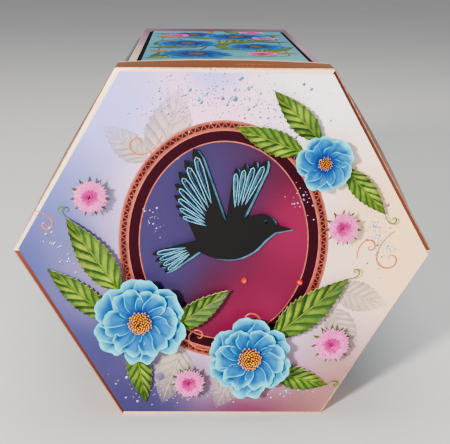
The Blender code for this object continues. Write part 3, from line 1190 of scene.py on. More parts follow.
def reach_to(base: Vector, tip: Vector, width: float) -> Matrix:
    """Places a thing modelled one unit tall along +Z, so that it reaches between two points.

    Args:
        base: The point that it starts from.
        tip: The point that it reaches.
        width: How far one unit of its width becomes.

    Returns:
        The matrix that puts it there.
    """
    along = tip - base
    side = along.cross(Vector((0, 0, 1)))
    side = side.normalized() if side.length else Vector((1, 0, 0))
    bulge = side.cross(along).normalized()
    turn = Matrix((side * width, bulge * width, along)).transposed().to_4x4()
    return Matrix.Translation(base) @ turn


def disc_spots(count: int) -> list[tuple[float, float]]:
    """Evenly spread places on a round, each a share of the radius and a turn."""
    golden = math.pi * (3 - math.sqrt(5.0))
    return [(math.sqrt((index + 0.5) / count), index * golden) for index in range(count)]


@dataclass(frozen=True)
class Blossom:
    """A blue blossom of one or two rings of petals, with a tuft of golden stamens."""

    name: str
    rings: tuple[str, ...]
    centre: str
    petals: int
    stamens: int

    def build(self, front: Front, looks: Finishes) -> None:
        """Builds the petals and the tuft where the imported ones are.

        Args:
            front: The lid's front.
            looks: The shared finishes.
        """
        chance = random.Random(self.name)
        place = front.spot(self.centre)
        rings = []
        for level, node in enumerate(self.rings):
            low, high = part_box(node)
            seat, rise = front.seat(node), front.rise(node)
            reach = (high[2] - low[2]) / 2 if level == 0 else (high[0] - low[0]) / 2
            if self.petals % 2:
                # An odd ring isn't symmetric, so it is measured at the petal that points left.
                reach = front.middle.x + place[0] * front.side - low[0]
            first = math.pi / self.petals * (1 - level)
            ring = Ring(self.petals, 0.12 * reach, reach, rise - seat, first)
            piece = ring.build(f"{self.name}_ring_{level}", chance, looks.petals)
            piece.data.transform(front.stand(place, seat))
            rings.append(piece)
        bloom = join(self.name + "_petals", rings)
        hand_over(bloom, "blue_petals", *self.rings)
        heads, stalks = self.tuft(chance)
        for piece, finish in ((heads, looks.stamens), (stalks, looks.amber)):
            piece.data.transform(front.stand(place, front.seat(self.centre)))
            soften(piece, 60.0)
            dress(piece, finish)
            hand_over(piece, "golden_stamens", self.centre)

    def tuft(self, chance: random.Random) -> tuple[Piece, Piece]:
        """Makes the stamens, which lean out from a low knob.

        Args:
            chance: Where their unevenness comes from.

        Returns:
            The round heads as one piece, and the stalks with the knob as another.
        """
        low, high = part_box(self.centre)
        radius = (high[0] - low[0]) / 2
        rise = high[1] - low[1]
        unselect()
        bpy.ops.mesh.primitive_uv_sphere_add(segments=20, ring_count=12, radius=radius)
        knob = name_new(self.name + "_knob")
        flatten = Matrix.Diagonal((0.72, 0.72, 0.16 * rise / radius, 1))
        knob.data.transform(Matrix.Translation((0, 0, 0.18 * rise)) @ flatten)
        head_size = 0.082 * radius
        head_shape = Matrix.Diagonal((head_size * 0.8, head_size * 1.25, head_size, 1))
        heads, stalks = [], []
        for share, turn in disc_spots(self.stamens):
            far = radius * (0.05 + 1.05 * share) * chance.uniform(0.90, 1.0)
            level = rise * (0.92 - 0.52 * share ** 2) * chance.uniform(0.80, 1.04)
            tip = Vector((far * math.cos(turn), far * math.sin(turn), min(level, rise - head_size)))
            base = Vector((0.22 * tip.x, 0.22 * tip.y, 0.0))
            stalks.append(reach_to(base, tip, 0.028 * radius))
            heads.append(Matrix.Translation(tip) @ Matrix.Rotation(turn, 4, "Z") @ head_shape)
        unselect()
        bpy.ops.mesh.primitive_cone_add(vertices=4, radius1=1.0, radius2=0.6, depth=1.0, location=(0, 0, 0.5))
        bpy.ops.object.transform_apply(location=True, rotation=True, scale=True)
        stalk_piece = repeat(self.name + "_stalks", name_new("stalk"), stalks)
        bpy.ops.mesh.primitive_ico_sphere_add(subdivisions=1, radius=1.0)
        head_piece = repeat(self.name + "_heads", name_new("head"), heads)
        return head_piece, join(self.name + "_stalks", [stalk_piece, knob])


@dataclass(frozen=True)
class Pompon:
    """A fluffy pink flower of many thin strands, deeper in its heart, over a ring of green sepals."""

    name: str
    strands: int = 210
    strand_card: float = 0.22
    heart: float = 0.50
    sepals: int = 11
    sepal_sink: float = 0.00025
    sepal_fold: float = 0.0001
    sepal_card: float = 0.00012
    sepal_step: float = 0.000004

    def build(self, front: Front, looks: Finishes) -> None:
        """Builds the strands over the two packed fringes.

        Args:
            front: The lid's front.
            looks: The shared finishes.
        """
        chance = random.Random(self.name)
        lower, upper = f"pompon_{self.name}_lower", f"pompon_{self.name}_upper"
        low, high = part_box(lower)
        radius = (high[0] - low[0]) / 2
        rise = front.rise(upper) - front.seat(lower)
        inner, outer = [], []
        for share, turn in disc_spots(self.strands):
            far = radius * (0.08 + 0.92 * share) * chance.uniform(0.88, 1.0)
            level = rise * (0.28 + 0.66 * (1 - share ** 2.2)) * chance.uniform(0.84, 1.0)
            tip = Vector((far * math.cos(turn), far * math.sin(turn), level))
            base = Vector((0.20 * tip.x, 0.20 * tip.y, 0.0))
            (inner if share < self.heart else outer).append(reach_to(base, tip, 0.050 * radius))
        for part, places, finish in (("heart", inner, looks.deep_pink), ("fringe", outer, looks.pink)):
            strand = bend(new_grid("strand", 1, 5), self.strand_rule)
            strand = turn_outward(thicken(strand, self.strand_card))
            tuft = repeat(f"pompon_{self.name}_{part}", strand, places)
            tuft.data.transform(front.stand(front.spot(lower), front.seat(lower)))
            soften(tuft, 60.0)
            dress(tuft, finish)
            hand_over(tuft, "pink_petals", lower, upper)
        self.calyx(front, radius, front.seat(lower) - self.sepal_sink, looks.leaf)

    def calyx(self, front: Front, radius: float, seat: float, green: Stock) -> None:
        """Builds the ring of sepals, whose tips show round the strands.

        Args:
            front: The lid's front.
            radius: The pompon's radius.
            seat: How far in front of the face the sepals lie.
            green: Their print and cut edge.
        """
        leaves = []
        length, width = radius * 1.10, radius * 0.34
        for index in range(self.sepals):
            name = f"sepal_{index}"
            leaf = leaf_sheet(name, length, width, self.sepal_fold, 4, self.sepal_card, green, fine=3)
            leaf.data.transform(Matrix.Rotation(index * 2 * math.pi / self.sepals, 4, "Z"))
            leaf.data.transform(Matrix.Translation((0, 0, self.sepal_step * index)))
            leaves.append(leaf)
        ring = join(f"pompon_{self.name}_sepals", leaves)
        ring.data.transform(front.stand(front.spot(f"pompon_{self.name}_lower"), seat))
        hand_over(ring, "green_leaves")

    @staticmethod
    def strand_rule(across: float, along: float) -> Sequence[float]:
        """A strand one unit tall that widens, then comes to a point, and arches a little."""
        half = 0.5 + 0.9 * along if along < 0.8 else 1.22 - 5.6 * (along - 0.8)
        return (2 * across - 1) * max(0.08, half), 1.5 * math.sin(math.pi * along), along


@dataclass(frozen=True)
class Leaf:
    """A leaf on the front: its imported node, and where its base and its tip are."""

    node: str
    base: Pair
    tip: Pair
    width: float
    card: float = 0.0005
    tooth: float = 0.0028
    fewest_teeth: int = 9

    def build(self, front: Front, green: Stock) -> None:
        """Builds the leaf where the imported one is.

        Args:
            front: The lid's front.
            green: The leaf's print and cut edge.
        """
        run = Vector((self.tip[0] - self.base[0], self.tip[1] - self.base[1])) * front.side
        seat, rise = front.seat(self.node), front.rise(self.node)
        teeth = max(self.fewest_teeth, round(run.length / self.tooth))
        fold = (rise - seat - self.card) * 0.95
        leaf = leaf_sheet(self.node + "_card", run.length, self.width, fold, teeth, self.card, green)
        leaf.data.transform(front.stand(self.base, seat, math.atan2(-run.x, run.y)))
        hand_over(leaf, "green_leaves", self.node)


LEAVES = (
    Leaf("leaf_left_tall", (-0.50, -0.19), (-0.74, 0.17), 0.0170),
    Leaf("leaf_left_side", (-0.55, -0.34), (-0.84, -0.09), 0.0140),
    Leaf("leaf_left_low", (-0.43, -0.48), (-0.38, -0.79), 0.0130),
    Leaf("leaf_low_inner", (-0.25, -0.39), (0.03, -0.19), 0.0130),
    Leaf("leaf_low_right", (0.25, -0.43), (0.60, -0.13), 0.0180),
    Leaf("leaf_low_edge", (0.25, -0.63), (0.52, -0.70), 0.0130),
    Leaf("leaf_top_up", (0.44, 0.54), (0.22, 0.77), 0.0125),
    Leaf("leaf_top_inner", (0.36, 0.48), (0.05, 0.60), 0.0130),
    Leaf("leaf_top_right", (0.56, 0.41), (0.76, 0.19), 0.0115),
)
BLOSSOMS = (
    Blossom("blossom_left", ("blossom_left_lower", "blossom_left_upper"), "blossom_left_centre", 6, 84),
    Blossom("blossom_low", ("blossom_low_lower", "blossom_low_upper"), "blossom_low_centre", 6, 84),
    Blossom("small_blossom", ("small_blossom_petals",), "small_blossom_centre", 5, 48),
)
POMPONS = (Pompon("left"), Pompon("low"), Pompon("right"), Pompon("top"))


@dataclass(frozen=True)
class Oval:
    """An upright oval on the front, and its thin printed layers."""

    place: Pair
    half_width: float
    half_height: float

    def edge(self, turn: float, inset: float) -> Pair:
        """A point on the oval, moved inwards by a distance."""
        return (self.half_width - inset) * math.cos(turn), (self.half_height - inset) * math.sin(turn)

    def band(self, name: str, outer: float, inner: float, thickness: float) -> Piece:
        """A flat ring between two insets, or a full disc where the inner one reaches the middle.

        Args:
            name: Its name.
            outer: Its outer edge's inset.
            inner: Its inner edge's inset.
            thickness: Its thickness.

        Returns:
            The ring, lying flat.
        """
        def rule(around: float, across: float) -> Sequence[float]:
            """Goes round the oval, and from the outer inset to the inner one."""
            x, y = self.edge(2 * math.pi * around, outer + (inner - outer) * across)
            return x, y, 0.0

        ring = turn_outward(bend(new_grid(name, 144, 2), rule))
        return turn_outward(thicken(ring, thickness))

    def spots(self, count: int, inset: float) -> list[tuple[float, float, float]]:
        """Places at equal steps along the oval.

        Args:
            count: How many.
            inset: How far inside the oval they lie.

        Returns:
            Each place, with the direction that points outwards there.
        """
        fine = 2880
        points = [self.edge(2 * math.pi * step / fine, inset) for step in range(fine + 1)]
        lengths = [0.0]
        for first, second in zip(points, points[1:]):
            lengths.append(lengths[-1] + math.dist(first, second))
        found, step = [], 0
        for index in range(count):
            while lengths[step] < lengths[-1] * index / count:
                step += 1
            turn = 2 * math.pi * step / fine
            outward = math.atan2(math.sin(turn) / self.half_height, math.cos(turn) / self.half_width)
            found.append((*points[step], outward))
        return found

    def teeth(self, name: str, count: int, inset: float, size: float, thickness: float) -> Piece:
        """A plain band of small triangles that point outwards and inwards by turns.

        Args:
            name: Its name.
            count: How many triangles.
            inset: How far inside the oval their middles lie.
            size: Their size, from the middle to a corner.
            thickness: Their thickness.

        Returns:
            The band, lying flat.
        """
        unselect()
        bpy.ops.mesh.primitive_cone_add(vertices=3, radius1=1.0, radius2=0.94, depth=1.0)
        places = []
        for index, (x, y, outward) in enumerate(self.spots(count, inset)):
            turn = outward - math.pi / 2 + (math.pi if index % 2 else 0.0)
            shift = Vector((math.cos(outward), math.sin(outward))) * size * (0.25 if index % 2 else -0.25)
            places.append(Matrix.Translation((x + shift.x, y + shift.y, thickness / 2))
                          @ Matrix.Rotation(turn, 4, "Z") @ Matrix.Diagonal((size, size, thickness, 1)))
        return repeat(name, name_new("tooth"), places)


def wire(
    name: str, points: Sequence[Sequence[float]], widths: Sequence[float], flat: float, closed: bool = False,
) -> Piece:
    """A fine line of foil through points, tapered and flattened.

    Args:
        name: Its name.
        points: The line's points.
        widths: Its half width at each point.
        flat: Its height as a share of its width.
        closed: Whether it closes on itself.

    Returns:
        The line as a mesh.
    """
    curve = bpy.data.curves.new(name, "CURVE")
    curve.dimensions = "3D"
    curve.bevel_depth = 1.0
    curve.bevel_resolution = 1
    curve.use_fill_caps = True
    spline = curve.splines.new("POLY")
    spline.points.add(len(points) - 1)
    spline.use_cyclic_u = closed
    for point, spot, width in zip(spline.points, points, widths):
        point.co = (spot[0], spot[1], 0.0, 1.0)
        point.radius = width
    holder = bpy.data.objects.new(name, curve)
    bpy.context.scene.collection.objects.link(holder)
    pick_up(holder)
    bpy.ops.object.convert(target="MESH")
    piece = name_new(name)
    piece.data.transform(Matrix.Diagonal((1, 1, flat, 1)))
    return soften(turn_outward(piece), 60.0)


@dataclass(frozen=True)
class Scroll:
    """A copper scroll: a sweep that winds into a spiral at its end."""

    place: Pair
    turn: float
    size: float
    flip: float = 1.0

    @classmethod
    def from_tip(cls, tip: Pair, side: float, turn: float, size: float, flip: float) -> "Scroll":
        """A scroll that starts at a given place on the front, such as a leaf's tip."""
        start = Matrix.Rotation(turn, 2) @ Vector((1.52 * size, flip * 0.39 * size)) / side
        return cls((tip[0] - start.x, tip[1] - start.y), turn, size, flip)

    def build(self, name: str, front: Front, height: float) -> Piece:
        """Draws the scroll.

        Args:
            name: Its name.
            front: The lid's front.
            height: How far in front of the lid's face it lies.

        Returns:
            The scroll.
        """
        points, widths = [], []
        steps, stem_share, thin, swell = 110, 0.25, 0.00012, 0.00028
        for step in range(steps + 1):
            share = step / steps
            turn = 0.4 + 8.6 * share ** 1.25
            far = self.size * (1 - share) ** 1.15
            stem = self.size * 0.6 * max(0.0, stem_share - share) / stem_share
            points.append((far * math.cos(turn) + stem, self.flip * far * math.sin(turn), 0.0))
            widths.append(thin + swell * math.sin(math.pi * min(1.0, share * 1.1 + 0.06)) ** 0.8)
        piece = wire(name, points, widths, 0.3)
        piece.data.transform(front.stand(self.place, height, self.turn))
        return piece


class Level(Enum):
    """How far in front of the lid's face each thin layer on the print begins."""

    DROPLETS = 0.00079
    GHOSTS = 0.000815
    MEDALLION = 0.00082
    SHADE = 0.00086
    BAND = 0.00089
    TRIANGLES = 0.00092
    SCROLLS = 0.00098


@dataclass(frozen=True)
class Sprinkle:
    """A cloud of tiny droplets on the front: its middle and spread as shares of the side, and its turn."""

    middle: Pair
    spread: Pair
    turn: float
    count: int
    size: float = 0.00026
    unevenness: float = 0.40
    large: float = 2.2
    small_share: float = 0.88
    tallest: float = 0.00034

    def droplet(self, front: Front, chance: random.Random) -> Matrix:
        """Places one droplet. A few are larger.

        Args:
            front: The lid's front.
            chance: Where its place and size come from.

        Returns:
            The matrix that puts a droplet one unit wide there.
        """
        x, y = (chance.gauss(0, 0.5) * reach for reach in self.spread)
        drift = Matrix.Rotation(self.turn, 2) @ Vector((x, y))
        size = self.size * math.exp(chance.gauss(0, self.unevenness))
        size *= self.large if chance.random() > self.small_share else 1.0
        spot = (self.middle[0] + drift.x, self.middle[1] + drift.y)
        shape = Matrix.Diagonal((size, size, min(size, self.tallest), 1))
        return front.stand(spot, Level.DROPLETS.value) @ shape


ON_PALE = (
    Sprinkle((0.02, 0.73), (0.34, 0.10), -0.04, 360), Sprinkle((0.30, 0.60), (0.20, 0.12), -0.5, 160),
    Sprinkle((-0.26, 0.66), (0.16, 0.12), 0.3, 80), Sprinkle((0.74, 0.08), (0.08, 0.18), 0.3, 180),
    Sprinkle((-0.78, 0.02), (0.05, 0.16), 0.4, 50), Sprinkle((0.36, -0.73), (0.12, 0.05), 0.1, 50),
)
ON_DARK = (
    Sprinkle((-0.24, -0.72), (0.24, 0.08), 0.0, 150), Sprinkle((-0.33, 0.14), (0.05, 0.12), 0.5, 26),
    Sprinkle((0.06, -0.72), (0.16, 0.07), 0.0, 60), Sprinkle((0.38, 0.24), (0.06, 0.12), 0.4, 26),
)


@dataclass
class FrontArt:
    """Everything that is printed or foiled on the lid's front, below the cut-outs.

    Each of the print's corners slides along the edges that meet in it, by its trim in millimetres.
    """

    front: Front
    looks: Finishes
    trims: tuple[Pair, ...] = (
        (-0.32, -0.56), (-1.20, 0.0), (0.0, 0.0), (0.46, 0.80), (0.63, 0.50), (0.29, 0.50))
    large_droplet: float = 0.00038
    rose_every: int = 5

    def build(self) -> None:
        """Lays the print and all that is printed, foiled or sprinkled on it."""
        self.print_sheet()
        self.medallion()
        self.ghost_leaves()
        self.scrolls()
        self.tendrils()
        self.sprinkle()

    def washes(self, clouds: Sequence[tuple[Pair, float, Paint]], share: float = 1.0) -> tuple[Wash, ...]:
        """Sets clouds of paint on the front.

        Args:
            clouds: Each one's place and reach, as shares of the front's side, and its paint.
            share: How much of the paint covers.

        Returns:
            The clouds.
        """
        made = []
        for place, reach, paint in clouds:
            spot = tuple(self.front.stand(place, 0.0).translation)
            made.append(Wash(spot, reach * self.front.side, paint.value, share))
        return tuple(made)

    def lay(self, piece: Piece, place: Pair, level: Level, finish: Material) -> None:
        """Puts a flat layer in its place on the print.

        Args:
            piece: The layer, lying flat.
            place: Where its middle goes, across and up.
            level: Which layer it is.
            finish: Its finish.
        """
        piece.data.transform(self.front.stand(place, level.value))
        dress(piece, finish)
        hand_over(piece, PRINTED)

    def print_card(self) -> Material:
        """Mixes the print, from blue at the left to cream at the right.

        Returns:
            The material.
        """
        clouds = (
            ((0.62, 0.75), 0.85, Paint.PALE), ((-0.10, 0.55), 0.50, Paint.PALE_PINK),
            ((-0.62, 0.70), 0.50, Paint.SKY_LILAC), ((-0.05, 0.88), 0.20, Paint.SKY_LILAC),
            ((1.00, 0.00), 0.90, Paint.CREAM), ((-0.92, 0.30), 0.60, Paint.SKY_BLUE),
            ((-1.02, -0.10), 0.85, Paint.PERIWINKLE), ((0.62, -0.90), 0.78, Paint.PINK_BEIGE),
            ((-0.82, -0.52), 0.68, Paint.DEEP_PERIWINKLE), ((0.08, -0.98), 0.58, Paint.ROSE_VIOLET),
            ((-0.50, -0.94), 0.72, Paint.BLUE_VIOLET),
        )
        return PrintFinish("front print", Paint.LILAC.value, self.washes(clouds), roughness=0.42).build()

    def print_sheet(self) -> None:
        """The printed card, cut a little unevenly, so that copper shows beside it at two sides and below."""
        piece = copy_node("front_print_card", "front_print")
        low, high = (Vector(corner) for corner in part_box("front_print"))
        middle = (low + high) / 2
        for vert in piece.data.vertices:
            turn = math.atan2(vert.co.z - middle.z, vert.co.x - middle.x)
            slide = self.trims[round(turn / (math.pi / 3)) % 6]
            vert.co += Vector((slide[0], 0.0, slide[1])) * 0.001
        soften(piece, 30.0)
        dress(piece, self.print_card())
        hand_over(piece, PRINTED, "front_print")

    def medallion_print(self) -> Material:
        """Mixes the medallion's plum, burgundy and dusk blue.

        Returns:
            The material.
        """
        clouds = (((0.42, 0.00), 0.80, Paint.BURGUNDY), ((0.22, -0.46), 0.50, Paint.MAGENTA),
                  ((0.36, 0.10), 0.34, Paint.MAGENTA), ((-0.22, 0.30), 0.62, Paint.DUSK),
                  ((-0.40, -0.06), 0.40, Paint.DUSK))
        washes = self.washes(clouds, 0.9)
        finish = PrintFinish("medallion print", Paint.PLUM.value, washes, roughness=0.45, gloss=0.12)
        return finish.build()

    def medallion(self) -> None:
        """The oval medallion with its copper band of triangles and its fine inner line."""
        oval = Oval((0.0, 0.04), 0.50 * self.front.side, 0.59 * self.front.side)
        disc = oval.band("medallion", 0.0, oval.half_width - 1e-7, 0.00003)
        self.lay(disc, oval.place, Level.MEDALLION, self.medallion_print())
        shade = oval.band("medallion_shade", 0.0030, 0.0098, 0.00002)
        plum = PrintFinish("deep plum print", ink(36, 0, 12), roughness=0.5, gloss=0.06)
        self.lay(shade, oval.place, Level.SHADE, plum.build())
        ground = oval.band("band_ground", 0.0003, 0.0046, 0.00004)
        copper = PlainFinish("band copper", ink(154, 66, 46), ink(118, 46, 34), 160.0, 0.45, gloss=0.2)
        self.lay(ground, oval.place, Level.BAND, copper.build())
        lines = [oval.band("outer_line", 0.0, 0.0006, 0.00010),
                 oval.band("inner_line", 0.0042, 0.0049, 0.00010),
                 oval.band("fine_line", 0.0096, 0.0101, 0.00008)]
        self.lay(join("medallion_foil", lines), oval.place, Level.BAND, self.looks.foil)
        triangles = oval.teeth("band_triangles", 200, 0.0024, 0.0014, 0.00005)
        dark = PrintFinish("triangle print", ink(40, 4, 12), roughness=0.5, gloss=0.1)
        self.lay(triangles, oval.place, Level.TRIANGLES, dark.build())

    def ghost_leaves(self) -> None:
        """Large pale leaves that are printed faintly under the others."""
        plans = (((-0.30, 0.42), (-0.20, 0.78), 0.24), ((-0.36, 0.44), (-0.56, 0.60), 0.15),
                 ((-0.20, -0.50), (-0.30, -0.80), 0.20), ((0.07, -0.60), (-0.03, -0.83), 0.17),
                 ((0.55, -0.20), (0.80, -0.28), 0.17), ((0.52, -0.30), (0.66, -0.52), 0.16))
        leaves = []
        for index, (base, tip, width) in enumerate(plans):
            run = Vector((tip[0] - base[0], tip[1] - base[1])) * self.front.side
            leaf = leaf_sheet(f"ghost_{index}", run.length, width * self.front.side, 0.0, 9, 0.00004, fine=3)
            height = Level.GHOSTS.value + index * 0.000001
            leaf.data.transform(self.front.stand(base, height, math.atan2(-run.x, run.y)))
            leaves.append(leaf)
        piece = join("ghost_leaves", leaves)
        dress(piece, self.looks.ghost)
        hand_over(piece, PRINTED)

    def scrolls(self) -> None:
        """Fine copper scrolls beside the medallion."""
        plans = (Scroll((0.13, -0.36), 3.4, 0.0090), Scroll((-0.12, -0.44), -0.4, 0.0075, -1.0),
                 Scroll((0.80, -0.04), 1.2, 0.0090), Scroll((0.70, 0.02), 4.2, 0.0055, -1.0),
                 Scroll((-0.84, 0.13), 2.4, 0.0050, -1.0), Scroll((-0.40, 0.52), 0.6, 0.0075, -1.0))
        drawn = []
        for index, plan in enumerate(plans):
            drawn.append(plan.build(f"scroll_{index}", self.front, Level.SCROLLS.value))
        piece = join("scrolls", drawn)
        dress(piece, self.looks.scroll_foil)
        hand_over(piece, PRINTED)

    def tendrils(self) -> None:
        """Fine green tendrils that curl on from the tips of some leaves."""
        plans = (("leaf_top_right", 2.3, 0.0030, 1.0), ("leaf_left_tall", -1.0, 0.0028, -1.0),
                 ("leaf_low_right", -2.6, 0.0030, 1.0), ("leaf_low_edge", -2.9, 0.0026, -1.0))
        tips = {leaf.node: leaf.tip for leaf in LEAVES}
        curls = []
        for node, turn, size, flip in plans:
            scroll = Scroll.from_tip(tips[node], self.front.side, turn, size, flip)
            curls.append(scroll.build(node + "_tendril", self.front, self.front.seat(node) + 0.0004))
        piece = join("tendrils", curls)
        dress(piece, self.looks.stem)
        hand_over(piece, "green_leaves")

    def sprinkle(self) -> None:
        """Hundreds of tiny raised droplets, dark on the pale print and pale on the dark."""
        chance = random.Random(41)
        groups = (("dark_droplets", ON_PALE, self.looks.dark_droplets),
                  ("light_droplets", ON_DARK, self.looks.light_droplets))
        for name, clouds, finishes in groups:
            places = [cloud.droplet(self.front, chance) for cloud in clouds for _ in range(cloud.count)]
            piece = repeat(name, self.bead(), places)
            for finish in finishes:
                piece.data.materials.append(finish)
            kinds = [int(place.to_scale().x > self.large_droplet) for place in places]
            kinds[::self.rose_every] = [2] * len(kinds[::self.rose_every])
            faces = len(piece.data.polygons) // len(places)
            for polygon in piece.data.polygons:
                polygon.material_index = kinds[polygon.index // faces]
            hand_over(piece, PRINTED)

    @staticmethod
    def bead() -> Piece:
        """Makes one droplet of two stepped cones, one unit wide and tall.

        Returns:
            The droplet.
        """
        parts = []
        for part, low, high, depth, middle in (("base", 1.0, 0.72, 0.6, 0.3), ("cap", 0.72, 0.2, 0.4, 0.8)):
            unselect()
            bpy.ops.mesh.primitive_cone_add(
                vertices=8, radius1=low, radius2=high, depth=depth, location=(0, 0, middle))
            bpy.ops.object.transform_apply(location=True, rotation=True, scale=True)
            parts.append(name_new("droplet_" + part))
        return soften(join("droplet", parts), 80.0)


@dataclass(frozen=True)
class Sides:
    """The body's six sides: the axis they turn about, and the top picture's corners."""

    axis: Vector
    low: Vector
    high: Vector

    @classmethod
    def of_frame(cls, front: Front) -> "Sides":
        """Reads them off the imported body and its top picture.

        Args:
            front: The lid's front.

        Returns:
            The sides.
        """
        body_low, body_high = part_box("box_body")
        low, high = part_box("side_picture_1")
        axis = Vector(((body_low[0] + body_high[0]) / 2, 0.0, front.middle.z))
        return cls(axis, Vector(low), Vector(high))

    def turns(self) -> list[Matrix]:
        """How the top side turns into each of the six."""
        move = Matrix.Translation(self.axis)
        return [move @ Matrix.Rotation(index * math.pi / 3, 4, "Y") @ move.inverted() for index in range(6)]

    def spot(self, across: float, along: float, height: float = 0.0) -> Vector:
        """A point above the top picture, from -1 to 1 across it and from 0 to 1 along it."""
        middle, half = (self.low + self.high) / 2, (self.high - self.low) / 2
        return Vector((middle.x + across * half.x, middle.y + (2 * along - 1) * half.y, self.high.z + height))

    def room(self, across: float, along: float, turn: float, margin: float = 0.002) -> float:
        """How far a leaf that points in a direction can reach inside the top picture.

        Args:
            across: Where it starts, from -1 to 1 across the picture.
            along: Where it starts, from 0 to 1 along the picture.
            turn: Its direction, anticlockwise from the picture's far end.
            margin: What is kept free at the picture's edge.

        Returns:
            The length in metres.
        """
        start = self.spot(across, along)
        reaches = []
        for axis, step in ((0, -math.sin(turn)), (1, math.cos(turn))):
            edge = self.high[axis] - margin if step > 0 else self.low[axis] + margin
            reaches.append((edge - start[axis]) / step if abs(step) > 1e-6 else math.inf)
        return min(reaches)


@dataclass
class SideArt:
    """The pictures on the sides: a line frame, a twig, leaves, blossoms and buds, the same on each side.

    The lifts are how far above the picture's face each thin print begins.
    """

    sides: Sides
    looks: Finishes
    edge_width: float = 0.0009
    edge_lift: float = 0.00002
    line_inset: Pair = (0.0080, 0.0250)
    line_radius: float = 0.0060
    line_half: float = 0.00032
    line_lift: float = 0.00005
    twig_half: float = 0.0008
    twig_lift: float = 0.00009
    leaf_unit: float = 0.00125
    leaf_lift: float = 0.00003
    leaf_step: float = 0.000008
    blossom_lift: float = 0.0002
    bud_lift: float = 0.00022
    petal_top: float = 0.00012
    petal_ruffle: float = 0.00002
    petal_card: float = 0.00004
    card: float = 0.00003

    def share_out(self, name: str, slot: str, model: Piece, finish: Material | None = None) -> None:
        """Puts the top side's part on all six sides.

        Args:
            name: The name of the six as one piece.
            slot: The record's material slot.
            model: The top side's part.
            finish: Their finish, where they don't keep their own.
        """
        piece = repeat(name, model, self.sides.turns())
        soften(piece, 50.0)
        if finish:
            dress(piece, finish)
        hand_over(piece, slot)

    def build(self) -> None:
        """Draws it all, from the picture's edge up to its flowers."""
        self.dark_edge()
        self.line_frame()
        self.twigs()
        self.leaves()
        self.blossoms()

    def dark_edge(self) -> None:
        """The picture's printed edge, a narrow flat frame as dark as its mat."""
        edge = new_grid("side_edge", 1, 1)
        bend(edge, lambda across, along: self.sides.spot(2 * across - 1, along, self.edge_lift))
        open_mesh(edge)
        bpy.ops.mesh.inset(thickness=self.edge_width)
        bpy.ops.mesh.delete(type="FACE")
        bpy.ops.object.mode_set(mode="OBJECT")
        thicken(edge, self.card)
        self.share_out("side_edges", "teal_print", edge, self.looks.mat_black)

    def line_frame(self) -> None:
        """A fine line with rounded corners, a little inside the picture."""
        low, high, radius, steps = self.sides.low, self.sides.high, self.line_radius, 8
        inset_x, inset_y = self.line_inset
        left, right = low.x + inset_x + radius, high.x - inset_x - radius
        near, far = low.y + inset_y + radius, high.y - inset_y - radius
        points = []
        for quarter, (x, y) in enumerate(((right, far), (left, far), (left, near), (right, near))):
            for step in range(steps + 1):
                turn = (quarter + step / steps) * math.pi / 2
                points.append((x + radius * math.cos(turn), y + radius * math.sin(turn), 0.0))
        line = wire("side_line", points, [self.line_half] * len(points), 0.12, closed=True)
        line.data.transform(Matrix.Translation((0, 0, high.z + self.line_lift)))
        self.share_out("side_lines", PRINTED, line, self.looks.fine_line)

    def twigs(self) -> None:
        """A dark twig that winds along the picture, with side shoots."""
        runs = (((-0.62, 0.10), (-0.30, 0.30), (-0.14, 0.50), (0.06, 0.68), (0.44, 0.90)),
                ((-0.30, 0.30), (0.12, 0.34), (0.46, 0.26)), ((-0.14, 0.50), (-0.44, 0.58), (-0.60, 0.74)),
                ((0.06, 0.68), (-0.16, 0.78), (-0.26, 0.90)), ((-0.04, 0.60), (0.36, 0.56), (0.62, 0.64)))
        lines = []
        for index, run in enumerate(runs):
            points = smooth_run([self.sides.spot(*place) for place in run], 12)
            widths = [self.twig_half * (1 - 0.75 * step / len(points)) for step in range(len(points))]
            line = wire(f"twig_{index}", points, widths, 0.10)
            line.data.transform(Matrix.Translation((0, 0, self.sides.high.z + self.twig_lift)))
            lines.append(line)
        self.share_out("side_twigs", PRINTED, join("side_twig", lines), self.looks.twig)

    def leaves(self) -> None:
        """Leaves along the twig, some of them turned golden.

        Each plan gives where a leaf starts across and along the picture, its turn and its length in units.
        """
        plans = (
            (-0.50, 0.17, 2.2, 30), (-0.46, 0.22, 0.9, 26), (-0.30, 0.33, 2.5, 34), (0.16, 0.33, 0.2, 28),
            (0.40, 0.27, -1.9, 26), (0.44, 0.27, -0.7, 30), (-0.22, 0.44, 1.9, 28), (-0.10, 0.52, -0.9, 34),
            (-0.52, 0.66, 2.7, 30), (-0.58, 0.72, 0.9, 24), (0.02, 0.66, -1.2, 30), (0.10, 0.70, 1.1, 34),
            (0.26, 0.82, -1.5, 30), (0.40, 0.88, 0.6, 28), (-0.20, 0.84, 1.4, 26), (-0.25, 0.88, -0.4, 24),
            (0.50, 0.60, -1.7, 26), (0.60, 0.63, -0.2, 28),
        )
        turned = (1, 4, 9, 10, 15)
        fresh_leaves, golden_leaves = [], []
        for index, (across, along, turn, units) in enumerate(plans):
            length = min(units * self.leaf_unit, self.sides.room(across, along, turn))
            leaf = leaf_sheet(f"side_leaf_{index}", length, length * 0.46, 0.00003, 8, 0.00002, fine=2)
            spot = self.sides.spot(across, along, self.leaf_lift + self.leaf_step * index)
            leaf.data.transform(Matrix.Translation(spot) @ Matrix.Rotation(turn, 4, "Z"))
            (golden_leaves if index in turned else fresh_leaves).append(leaf)
        green, golden = self.looks.leaf.face, self.looks.golden_leaf
        self.share_out("side_leaves", "green_leaves", join("side_green", fresh_leaves), green)
        self.share_out("side_gold_leaves", "green_leaves", join("side_gold", golden_leaves), golden)

